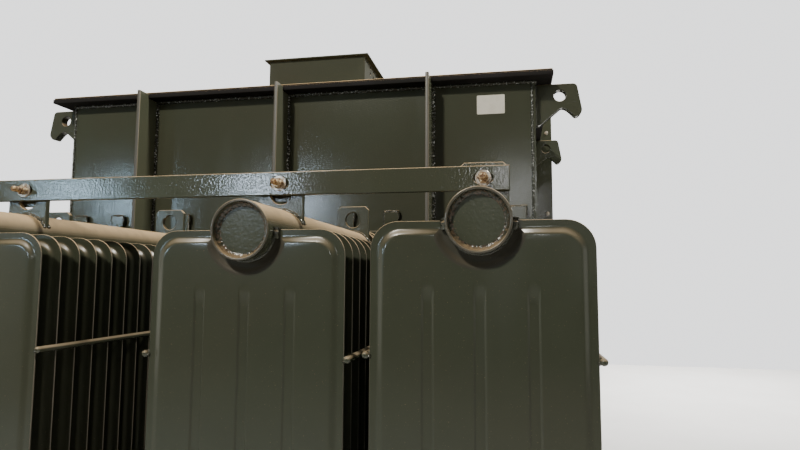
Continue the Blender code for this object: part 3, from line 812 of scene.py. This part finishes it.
def panel_stations():
    """Steps from the seam's outer edge to the pressed face: depth, inset and any notch radius."""
    half = PANEL_RIM / 2
    steps = [(half - PANEL_RIM_SOFT, 0.0, None), (half, PANEL_RIM_SOFT, None)]
    steps.append((half, PANEL_SEAM - FACE_GUARD, PANEL_NOTCH_R - FACE_GUARD))
    steps.append((half, PANEL_SEAM, PANEL_NOTCH_R))
    sharp = PANEL_BODY * (1 - ROLL_SHARE)
    gentle = PANEL_BODY * ROLL_SHARE
    run = PANEL_BEVEL + PANEL_ROLL
    for i in range(1, BEVEL_STEPS + ROLL_STEPS + 1):
        if i <= BEVEL_STEPS:
            reach = PANEL_BEVEL * i / BEVEL_STEPS
        else:
            reach = PANEL_BEVEL + PANEL_ROLL * ((i - BEVEL_STEPS) / ROLL_STEPS) ** ROLL_SPACING
        rise = sharp * (1 - math.cos(math.pi * min(reach / PANEL_BEVEL, 1))) / 2
        rise += gentle * (1 - (1 - reach / run) ** 2)
        round_pipe = min(reach, PANEL_BEVEL) + max(reach - PANEL_BEVEL, 0) * NOTCH_ROLL_SHARE
        steps.append((half + rise, PANEL_SEAM + reach, PANEL_NOTCH_R + round_pipe))
    return steps


def groove_loop(bank, x, half_width, ramp):
    """A long slot outline with round ends, drawn back by a ramp at each end."""
    high_z = bank.panel_high - GROOVE_MARGIN - ramp
    low_z = bank.panel_low + GROOVE_MARGIN + ramp
    end = GROOVE_WIDTH / 2
    top = arc((x, high_z - end), half_width, 0, 180, GROOVE_END_STEPS)
    bottom = arc((x, low_z + end), half_width, 180, 360, GROOVE_END_STEPS)
    return top + bottom


def panel_mesh(bank):
    """One pressed panel: two sheets joined in a flat seam, with grooves in both faces."""
    shape = bmesh.new()
    stations = panel_stations()
    sides = []
    for sign in (-1, 1):
        rings = []
        for depth, inset, notch_r in stations:
            rings.append([(x, sign * depth, z) for x, z in panel_outline(bank, inset, notch_r)])
        rows = loft(shape, rings)
        # The seam's outer edge takes the panel's second paint: the painted rim highlight.
        mark(rows[:1], 1)
        face = sign * stations[-1][0]
        holes = []
        for index in range(GROOVE_COUNT):
            x = GROOVE_PITCH * (index - (GROOVE_COUNT - 1) / 2)
            rim = groove_loop(bank, x, GROOVE_WIDTH / 2 + FACE_GUARD, 0.0)
            groove = [[(u, face, v) for u, v in rim]]
            for i in range(GROOVE_STEPS + 1):
                fraction = i / GROOVE_STEPS
                sink = (1 - math.cos(math.pi * fraction)) / 2 * GROOVE_DEPTH
                half_width = GROOVE_WIDTH / 2 - GROOVE_WALL * fraction
                loop = groove_loop(bank, x, half_width, GROOVE_RAMP * fraction)
                groove.append([(u, face - sign * sink, v) for u, v in loop])
            groove_rows = loft(shape, groove)
            shape.faces.new(groove_rows[-1])
            holes.append(groove_rows[0])
        fill_between(shape, [rows[-1], *holes], Vector((0, sign, 0)))
        sides.append(rows[0])
    # The strips that join the two sheets take the painted rim highlight too.
    for strip in skin(shape, *sides):
        strip.smooth = False
        strip.material_index = 1
    # Faces within the crescent round the header take the panel's third paint: the darker painted shade of
    # the pipe's shadow.
    crescent = PANEL_NOTCH_R + PANEL_BEVEL + PANEL_ROLL * NOTCH_ROLL_SHARE
    for face in shape.faces:
        middle = face.calc_center_median()
        if math.hypot(middle.x, middle.z - bank.top) < crescent:
            face.material_index = 2
    bmesh.ops.recalc_face_normals(shape, faces=shape.faces)
    return mesh_of("panel", shape)


def make_panels(bank):
    mesh = panel_mesh(bank)
    shape = bmesh.new()
    for i in range(PANEL_COUNT):
        start = len(shape.verts)
        shape.from_mesh(mesh)
        shape.verts.ensure_lookup_table()
        lean = Matrix.Rotation(math.radians(random.uniform(-PANEL_LEAN, PANEL_LEAN)), 4, "Z")
        shift = Vector((bank.x, bank.panel_front + i * PANEL_PITCH, 0))
        for vert in shape.verts[start:]:
            vert.co = lean @ vert.co + shift
    bpy.data.meshes.remove(mesh)
    more = (PANEL_RIM_HIGHLIGHT, UNDER_PIPE_SHADE_PAINT)
    return put(f"panels_{bank.number}", shape, PANEL_PAINT, more=more)


def make_header(bank, level, z):
    """A header pipe with a round lip at its open end."""
    shape = bmesh.new()
    inner = HEADER_R - HEADER_WALL
    lip = bank.front
    profile = [
        (inner, lip + HEADER_RECESS + HEADER_WALL),
        (inner, lip + LIP_ROUND),
        (inner + LIP_OUT, lip + LIP_BACK),
        (inner + LIP_ROUND, lip),
        (HEADER_R - LIP_ROUND, lip),
        (HEADER_R - LIP_OUT, lip + LIP_BACK),
        (HEADER_R, lip + LIP_ROUND),
        (HEADER_R, lip + 2 * LIP_ROUND),
        (HEADER_R, bank.panel_front),
        (HEADER_R, bank.back),
    ]
    rows = turned(shape, (bank.x, z), profile)
    # The lip's rounded strips take the lighter second paint: a painted highlight round the pipe's open end.
    mark(rows[2:6], 1)
    put(f"header_{level}_{bank.number}", shape, PIPE_PAINT, ROUND, (LIP_HIGHLIGHT_PAINT,))


def make_end_disc(bank, level, z):
    """The plate in the header's end, with the rough fillet that joins it to the pipe."""
    shape = bmesh.new()
    disc = bank.front + HEADER_RECESS
    rim = HEADER_R - HEADER_WALL - GAP - DISC_FILLET
    profile = [(rim + DISC_FILLET * out, disc - DISC_FILLET * up) for out, up in FILLET_CURVE]

    def lump(index, angle):
        if index < 1:
            return 0.0
        turn = Vector((math.cos(angle), math.sin(angle), 0)) * FILLET_TURNS
        place = turn + Vector((bank.x * 31, z * 13, index * 0.4))
        return -FILLET_LUMP * sum(share * noise.noise(place * wave) for wave, share in FILLET_WAVES)

    rows = turned(shape, (bank.x, z), profile, 2 * PIPE_STEPS, lump)
    shape.faces.new(rows[0][::-1])
    # The fillet's rows take the darker second paint: painted shade in the recess, with rust.
    mark(rows[1:], 1)
    put(f"end_disc_{level}_{bank.number}", shape, DISC_PAINT, ROUND, (SHADED_RUSTY_FILLET,))


def make_pipe_welds(bank, level, z):
    """Thin welds round the header at each panel, with lumps where the first one's seam meets it."""
    shape = bmesh.new()
    sign = 1 if level == "top" else -1
    for i in range(PANEL_COUNT):
        y = bank.panel_front + i * PANEL_PITCH
        offsets = (-PANEL_RIM / 2, PANEL_RIM / 2) if i == 0 else (-PANEL_RIM / 2,)
        for offset in offsets:
            half = arc((0, 0), HEADER_R, 0, 180, SEAM_STEPS)
            lower = [(bank.x + u, y + offset, z - sign * v) for u, v in half]
            bead(shape, lower, PANEL_WELD_R, seed=i * 1.7 + bank.number)
        if i == 0:
            for side in (-1, 1):
                ends = []
                for out, back, up in SEAM_LUMP:
                    ends.append((bank.x + side * (HEADER_R + out), y + back, z + sign * up))
                bead(shape, ends, SEAM_LUMP_R, swell=LUMP_SWELL, seed=side * 4.0 + bank.number)
    put_weld(f"pipe_welds_{level}_{bank.number}", shape)


def make_lug(bank, which):
    """A lug with saddle foot, straight sides and cut top corners, and the welds at its foot."""
    name = f"radiator_{bank.number}_{which}_lug"
    lowest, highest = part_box(name)
    half = (highest.x - lowest.x) / 2
    seat_r = HEADER_R + GAP
    foot = math.degrees(math.acos(half / seat_r))
    outline = arc((bank.x, bank.top), seat_r, 180 - foot, foot, SMALL_STEPS)
    top = bank.top + LUG_TOP
    outline += [(bank.x + half, top - LUG_CHAMFER), (bank.x + half - LUG_CHAMFER, top)]
    outline += [(bank.x - half + LUG_CHAMFER, top), (bank.x - half, top - LUG_CHAMFER)]
    shape = bmesh.new()
    hole = circle((bank.x, bank.top + LUG_HOLE_UP), LUG_HOLE_R)
    plate(shape, "xz", outline, lowest.y, highest.y, holes=[hole])
    piece = put(f"{which}_lug_{bank.number}", shape, LUG_PAINT)
    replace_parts(piece, name)

    seams = bmesh.new()
    foot = math.degrees(math.acos(half / HEADER_R))
    seam = arc((bank.x, bank.top), HEADER_R + WELD_OUT, 180 - foot, foot, SEAM_STEPS)
    for y, seed in ((lowest.y, 1.0), (highest.y, 2.0)):
        bead(seams, [(u, y, v) for u, v in seam], PIPE_WELD_R, seed=seed + bank.number)
    put_weld(f"{which}_lug_weld_{bank.number}", seams)


def make_rods(bank):
    """The rods along both sides of the bank, with a spot of weld at each panel."""
    for side, sign in (("left", -1), ("right", 1)):
        node = f"radiator_{bank.number}_rod_{side}"
        lowest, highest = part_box(node)
        centre = ((lowest.x + highest.x) / 2, (lowest.z + highest.z) / 2)
        near = [(ROD_R * out, lowest.y + ROD_DOME * up) for out, up in ROD_TIP_SHARES]
        far = [(ROD_R * out, highest.y - ROD_DOME * up) for out, up in reversed(ROD_TIP_SHARES)]
        shape = bmesh.new()
        turned(shape, centre, near + far, ROD_STEPS, closed_ends=True)
        piece = put(f"rod_{side}_{bank.number}", shape, PANEL_PAINT)
        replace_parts(piece, node)
        spots = bmesh.new()
        x = bank.x + (PANEL_WIDTH / 2 + WELD_OUT) * sign
        for i in range(PANEL_COUNT):
            y = bank.panel_front + i * PANEL_PITCH
            bead(spots, [(x, y + back, centre[1] + up) for back, up in ROD_WELD], ROD_WELD_R, seed=i * 2.0)
        put_weld(f"rod_weld_{side}_{bank.number}", spots)


def make_banks():
    for bank in BANKS:
        panels = make_panels(bank)
        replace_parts(panels, f"radiator_{bank.number}")
        for level, z in (("top", bank.top), ("bottom", bank.low)):
            make_header(bank, level, z)
            make_end_disc(bank, level, z)
            make_pipe_welds(bank, level, z)
            make_valve(bank, level, z)
        make_lug(bank, "front")
        make_lug(bank, "rear")
        make_rods(bank)


# Bolts

def ring_at(place, direction, outline, rise):
    """A flat outline as a ring of 3D points across a direction, at a rise along it."""
    turn = direction.to_track_quat("Z", "Y").to_matrix()
    return [place + turn @ Vector((u, v, rise)) for u, v in outline]


def nut_into(shape, place, direction, radius, thick, turn):
    """A hexagon nut or bolt head with cut corners, from its seat outward."""
    rings = []
    start = math.degrees(turn)
    for share, grow in NUT_SHARES:
        hexagon = arc((0, 0), radius * grow, start, start + 300, 5)
        rings.append(ring_at(place, direction, hexagon, thick * share))
    loft(shape, rings, closed_ends=True)


def round_into(shape, place, direction, levels, steps):
    """A closed round piece from pairs of radius and rise along a direction."""
    rings = [ring_at(place, direction, circle((0, 0), reach, steps), rise) for reach, rise in levels]
    loft(shape, rings, closed_ends=True)


def disc_into(shape, place, direction, radius, thick, dome=0.0):
    """A washer, or a domed head when dome is above zero."""
    soft = min(thick * RIM_SOFT_SHARES[0], radius * RIM_SOFT_SHARES[1])
    levels = [(radius, 0.0), (radius, thick - soft), (radius - soft, thick)]
    if dome:
        levels += [(radius * out, thick + dome * up) for out, up in DOME_SHARES]
    round_into(shape, place, direction, levels, DISC_STEPS)


def stud_into(shape, place, direction, radius, length):
    """A threaded rod end with a cut tip."""
    root = radius * THREAD_ROOT_SHARE
    levels = []
    rise = 0.0
    while rise < length:
        levels.append((root if len(levels) % 2 else radius, rise))
        rise += THREAD_PITCH / 2
    tip, cut = STUD_TIP_SHARES
    levels += [(root, length), (radius * tip, length + radius * cut)]
    round_into(shape, place, direction, levels, SMALL_STEPS)


def make_bar():
    """The brace bar with a level slot at each bolt, and its nuts, washers and studs."""
    outline = rectangle(BAR_LOW.xz, BAR_HIGH.xz)
    shape = bmesh.new()
    middle = (BAR_LOW.z + BAR_HIGH.z) / 2
    run = SLOT_LENGTH / 2 - SLOT_HALF_HEIGHT
    slots = []
    for bank in BANKS:
        slot = arc((bank.x + run, middle), SLOT_HALF_HEIGHT, -90, 90, SLOT_END_STEPS)
        slot += arc((bank.x - run, middle), SLOT_HALF_HEIGHT, 90, 270, SLOT_END_STEPS)
        slots.append(slot)
    plate(shape, "xz", outline, BAR_LOW.y, BAR_HIGH.y, holes=slots, edge=BAR_EDGE)
    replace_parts(put("brace_bar_slotted", shape, BAR_PAINT), "brace_bar")

    hardware = bmesh.new()
    washers = bmesh.new()
    plates = bmesh.new()
    forward = Vector((0, -1, 0))
    for bank in BANKS:
        seat = Vector((bank.x, BAR_LOW.y, middle))
        disc_into(washers, seat, forward, WASHER_R, WASHER_THICK)
        nut_seat = seat + forward * WASHER_THICK
        nut_into(hardware, nut_seat, forward, NUT_R, NUT_THICK, 0.2 + bank.number)
        stud_into(hardware, nut_seat + forward * STUD_START, forward, STUD_R, STUD_PROUD)
        back = Vector((bank.x, high(f"radiator_{bank.number}_front_lug").y, middle))
        corner = (bank.x - PLATE_WASHER / 2, middle - PLATE_WASHER_DROP)
        square = rectangle(corner, (corner[0] + PLATE_WASHER, corner[1] + PLATE_WASHER))
        plate(plates, "xz", square, back.y, back.y + WASHER_THICK, edge=WASHER_EDGE)
        nut_into(hardware, back - forward * WASHER_THICK, -forward, NUT_R, NUT_THICK * REAR_NUT_SHARE, 0.5)
        stud_into(hardware, seat, -forward, STUD_R, (back - seat).length)
    put("brace_bolts", hardware, RUSTY)
    put("brace_washers", washers, ZINC)
    put("brace_plate_washers", plates, LUG_PAINT)


# Valves and nozzle plates

def flange_profile(start):
    """A valve flange's rim with soft edges, from its front face to its back."""
    end = start + VALVE_FLANGE
    return [
        (VALVE_FLANGE_R - VALVE_EDGE, start),
        (VALVE_FLANGE_R, start + VALVE_EDGE),
        (VALVE_FLANGE_R, end - VALVE_EDGE),
        (VALVE_FLANGE_R - VALVE_EDGE, end),
    ]


def make_valve(bank, level, z):
    """Two bolted flanges and a stub between a header and the tank wall."""
    node = f"radiator_{bank.number}_{level}_valve"
    start = bank.back + GAP
    end = WALL_Y - GAP
    body_start = start + VALVE_FLANGE
    body_end = start + (end - start) / 2
    profile = flange_profile(start) + [(VALVE_BODY_R, body_start), (VALVE_BODY_R, body_end)]
    profile += flange_profile(body_end) + [(VALVE_STUB_R, body_end + VALVE_FLANGE), (VALVE_STUB_R, end)]
    shape = bmesh.new()
    turned(shape, (bank.x, z), profile, closed_ends=True)
    for k in range(VALVE_BOLTS):
        angle = math.tau * (k + 0.5) / VALVE_BOLTS
        x = bank.x + VALVE_BOLT_CIRCLE * math.cos(angle)
        height = z + VALVE_BOLT_CIRCLE * math.sin(angle)
        for y, way in ((body_start, 1), (body_end, -1)):
            nut_into(shape, Vector((x, y, height)), Vector((0, way, 0)), VALVE_BOLT_R, VALVE_BOLT_R, k)
    piece = put(f"valve_{level}_{bank.number}", shape, TANK_PAINT)
    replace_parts(piece, node)
    if level == "top":
        make_nozzle_plate(bank, z)


def make_nozzle_plate(bank, z):
    """The plate on the tank wall with its two ears, and the rough welds over them."""
    inner = EAR_OUT - EAR_WIDTH / 2
    outer = EAR_OUT + EAR_WIDTH / 2
    half = [(NOZZLE_HALF_WIDTH, -NOZZLE_LOW), (outer, NOZZLE_HIGH), (outer, EAR_TOP)]
    half += [(inner, EAR_TOP), (inner, NOZZLE_HIGH)]
    outline = half + [(-out, up) for out, up in reversed(half)]
    outline = [(bank.x + out, z + up) for out, up in outline]
    shape = bmesh.new()
    plate(shape, "xz", outline, WALL_Y - EAR_THICK, WALL_Y - GAP)
    put(f"nozzle_plate_{bank.number}", shape, TANK_PAINT)
    welds = bmesh.new()
    y = WALL_Y - EAR_THICK * EAR_WELD_SHARE
    for side in (-1, 1):
        left, right = sorted((bank.x + side * inner, bank.x + side * outer))
        top = z + EAR_TOP
        path = ((left, z + NOZZLE_HIGH), (left, top), (right, top), (right, top - EAR_WELD_TAIL))
        bead(welds, [(u, y, v) for u, v in path], EAR_WELD_R, seed=bank.x * 9 + side)
    ring = [(bank.x + u, WALL_Y - EAR_THICK, z + v) for u, v in circle((0, 0), VALVE_STUB_R, PIPE_STEPS)]
    bead(welds, ring, NOZZLE_WELD_R, closed=True, seed=bank.x)
    put_weld(f"nozzle_weld_{bank.number}", welds)


# Tank, rim, hooks and stiffeners

def make_hooks():
    """Lifting hooks with round eyes and a weld along each root."""
    for end, side in (("left", -1), ("right", 1)):
        for face in ("front", "rear"):
            node = f"hook_{face}_{end}"
            lowest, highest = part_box(node)
            root = lowest.x if side > 0 else highest.x
            reach = highest.x - lowest.x
            drop = highest.z - lowest.z
            outline = [(root + side * reach * out, highest.z - drop * down) for out, down in HOOK_SHARES]
            outline = rounded(outline, HOOK_BEND)
            eye = circle((root + side * (HOOK_HOLE_OUT - GAP), highest.z - HOOK_HOLE_DROP), HOOK_HOLE_R)
            shape = bmesh.new()
            plate(shape, "xz", outline, lowest.y, highest.y, holes=[eye])
            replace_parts(put(f"lifting_{node}", shape, LUG_PAINT), node)
            seam = bmesh.new()
            for y in (lowest.y, highest.y):
                bead(seam, [(root, y, lowest.z), (root, y, highest.z)], WALL_WELD_R, seed=y + side)
            put(f"weld_{node}", seam, WELD, angle=ROUND)


def make_rim():
    """The flange frame and the cover plate, with soft edges."""
    mouth = offset_loop(rectangle((TANK_LEFT, WALL_Y), (TANK_RIGHT, TANK_BACK)), FLANGE_SEAT)
    flange = level_sheet(FLANGE_LOW, FLANGE_HIGH, holes=[mouth])
    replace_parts(put("rim_flange_plate", flange, RIM_PAINT), "rim_flange")
    cover = level_sheet(*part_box("cover_plate"), COVER_EDGE)
    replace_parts(put("cover_sheet", cover, COVER_PAINT), "cover_plate")


def make_stiffeners():
    """Upright bars with soft edges, notched round the flange, and their welds to the wall."""
    for name in ("left", "middle", "right"):
        node = f"stiffener_{name}"
        lowest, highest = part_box(node)
        slope = WALL_Y - lowest.y
        side = [
            (WALL_Y - GAP, lowest.z),
            (WALL_Y - GAP, TANK_TOP - GAP),
            (FLANGE_LOW.y - GAP, TANK_TOP - GAP),
            (FLANGE_LOW.y - GAP, highest.z),
            (lowest.y, highest.z),
            (lowest.y, lowest.z + slope),
        ]
        shape = bmesh.new()
        plate(shape, "yz", side, lowest.x, highest.x, edge=(highest.x - lowest.x) * STIFFENER_EDGE_SHARE)
        # Faces at the front that turn little aside take the lighter second paint: a painted highlight along
        # the front edge.
        for face in shape.faces:
            near = face.calc_center_median().y < lowest.y + STIFFENER_FRONT
            if near and abs(face.normal.x) < STIFFENER_FACING:
                face.material_index = 1
        piece = put(f"stiffener_bar_{name}", shape, STIFFENER_LIT_PAINT, more=(STIFFENER_FRONT_HIGHLIGHT,))
        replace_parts(piece, node)
        seam = bmesh.new()
        for x in (lowest.x, highest.x):
            line = [(x, WALL_Y, lowest.z), (x, WALL_Y, TANK_TOP - STIFFENER_WELD_DROP)]
            bead(seam, line, WALL_WELD_R, ripple=STIFFENER_RIPPLE, swell=STIFFENER_SWELL, seed=x * 7)
        # The stiffener welds take the palest glint colour on their lumps: painted highlights on welds that
        # lie in shade.
        put(f"stiffener_weld_{name}", seam, SHADED_WELD, angle=ROUND)


def make_tank_welds():
    """Beads at the tank's upright corners and under the rim flange."""
    shape = bmesh.new()
    for x in (TANK_LEFT, TANK_RIGHT):
        inset = RIGHT_WELD_INSET if x == TANK_RIGHT else 0.0
        for y in (WALL_Y, TANK_BACK):
            bead(shape, [(x - inset, y, TANK_LOW), (x - inset, y, TANK_TOP)], CORNER_WELD_R, seed=x + y)
    loop = rectangle((TANK_LEFT, WALL_Y - RIM_WELD_OUT), (TANK_RIGHT, TANK_BACK + RIM_WELD_OUT))
    ring = [(x, y, TANK_TOP - RIM_WELD_OUT) for x, y in loop]
    bead(shape, ring, WALL_WELD_R, closed=True, swell=RIM_SWELL, seed=3.0)
    put("tank_welds", shape, WALL_WELD, angle=ROUND)


def make_cover_box():
    """A sheet box with two rows of holes in its right end, under a thin overhanging lid."""
    lowest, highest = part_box("cover_box")
    shape = bmesh.new()
    holes = []
    for y in BOX_HOLES_BACK:
        for up in BOX_HOLES_UP:
            holes.append(circle((WALL_Y + y, lowest.z + up), BOX_HOLE_R, SMALL_STEPS))
    rear = highest.y - BOX_SHEET
    end = rectangle(lowest.yz, highest.yz)
    face = rectangle((lowest.x + BOX_SHEET, lowest.z), (highest.x - BOX_SHEET, highest.z))
    plate(shape, "yz", end, highest.x - BOX_SHEET, highest.x, holes, BOX_EDGE)
    for plane, outline, near in (("yz", end, lowest.x), ("xz", face, lowest.y), ("xz", face, rear)):
        plate(shape, plane, outline, near, near + BOX_SHEET, edge=BOX_EDGE)
    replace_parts(put("cover_box_sheets", shape, BOX_PAINT), "cover_box")
    lid = level_sheet(*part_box("cover_box_lid"), LID_EDGE)
    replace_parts(put("cover_box_top", lid, LID_PAINT), "cover_box_lid")


def make_compartment_bolts():
    """Domed bolts down both sides of the compartment's front plate, before and behind it."""
    shape = bmesh.new()
    lowest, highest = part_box("compartment_plate")
    for x in (lowest.x + SIDE_BOLT_INSET, highest.x - SIDE_BOLT_INSET):
        z = highest.z - SIDE_BOLT_DROP
        while z > lowest.z + SIDE_BOLT_INSET:
            for y, way in ((lowest.y, -1), (highest.y, 1)):
                place = Vector((x, y, z))
                disc_into(shape, place, Vector((0, way, 0)), SIDE_BOLT_R, SIDE_BOLT_RIM, SIDE_BOLT_DOME)
            z -= SIDE_BOLT_STEP
    put("compartment_bolts", shape, ZINC)


def make_label():
    """The bare sticker on the front wall."""
    shape = bmesh.new()
    outline = rounded(rectangle(STICKER_LOW, STICKER_HIGH), STICKER_CORNER)
    plate(shape, "xz", outline, WALL_Y - STICKER_PROUD, WALL_Y - STICKER_EDGE, edge=STICKER_EDGE)
    put("bare_sticker", shape, STICKER)


def finish_carried_nodes():
    """Paint the nodes that stay in view as they are."""
    for name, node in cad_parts.items():
        if not node.hide_render:
            node.data.materials.clear()
            node.data.materials.append(CORE if name == "core_and_windings" else TANK_PAINT)


# Camera, floor and light

def make_camera():
    data = bpy.data.cameras.new("camera")
    data.sensor_width = SENSOR_WIDTH
    data.lens = SENSOR_WIDTH * FOCAL_PIXELS / PHOTO_WIDTH
    data.clip_start = CLIP_START
    camera = shown("camera", data)
    camera.matrix_world = Matrix.Translation(Vector(CAMERA_PLACE))
    for axis, turn in (("Z", CAMERA_YAW), ("X", 90 + CAMERA_PITCH), ("Z", CAMERA_ROLL)):
        camera.matrix_world @= Matrix.Rotation(math.radians(turn), 4, axis)
    bpy.context.scene.camera = camera


def make_floor():
    shape = bmesh.new()
    bmesh.ops.create_grid(shape, x_segments=2, y_segments=2, size=FLOOR_HALF)
    floor = shown("floor", mesh_of("floor", shape))
    floor.data.materials.append(FLOOR)


def add_lamp(name, place, target, size, power, color, spread=180):
    data = bpy.data.lights.new(name, "AREA")
    data.spread = math.radians(spread)
    data.shape = "RECTANGLE"
    data.size, data.size_y = size
    data.energy = power
    data.color = color
    lamp = shown(name, data)
    lamp.location = place
    lamp.rotation_euler = (Vector(target) - Vector(place)).to_track_quat("-Z", "Y").to_euler()


def make_world():
    """A dim hall, brighter in front of the part, at its sides and overhead, before a pale backdrop."""
    world = bpy.data.worlds.new("studio")
    tree = Tree(world, "Generated")
    x, y, z = tree.add("ShaderNodeSeparateXYZ", {"Vector": tree.place}).outputs
    front = tree.multiply(tree.ramp(y, *FRONT_SPAN), tree.ramp(z, *FRONT_FLOOR))
    front = tree.multiply(tree.multiply(front, tree.ramp(z, *FRONT_ROOF)), HALL_FRONT)
    overhead = tree.multiply(tree.ramp(z, *HIGH_SPAN), HALL_HIGH)
    level = tree.multiply(tree.ramp(z, *SIDE_FLOOR), tree.ramp(z, *SIDE_ROOF))
    aside = tree.multiply(tree.ramp(tree.calculate("ABSOLUTE", x), *SIDE_SPAN), level)
    aside = tree.multiply(aside, HALL_SIDE)
    hall = HALL_LOW
    for light in (front, overhead, aside):
        hall = tree.calculate("ADD", light, hall)
    seen = tree.add("ShaderNodeLightPath").outputs["Is Camera Ray"]
    strength = tree.add("ShaderNodeMix", {"Factor": seen, "A": hall, "B": BACKDROP})
    background = tree.tree.nodes["Background"].inputs
    tree.feed(background["Strength"], strength.outputs["Result"])
    tree.feed(background["Color"], tree.mix(seen, HALL_TINT, BACKDROP_TINT))
    bpy.context.scene.world = world


make_banks()
make_bar()
make_hooks()
make_rim()
make_stiffeners()
make_tank_welds()
make_cover_box()
make_compartment_bolts()
make_label()
finish_carried_nodes()
make_floor()
make_camera()
make_world()
for lamp_settings in LAMPS:
    add_lamp(*lamp_settings)
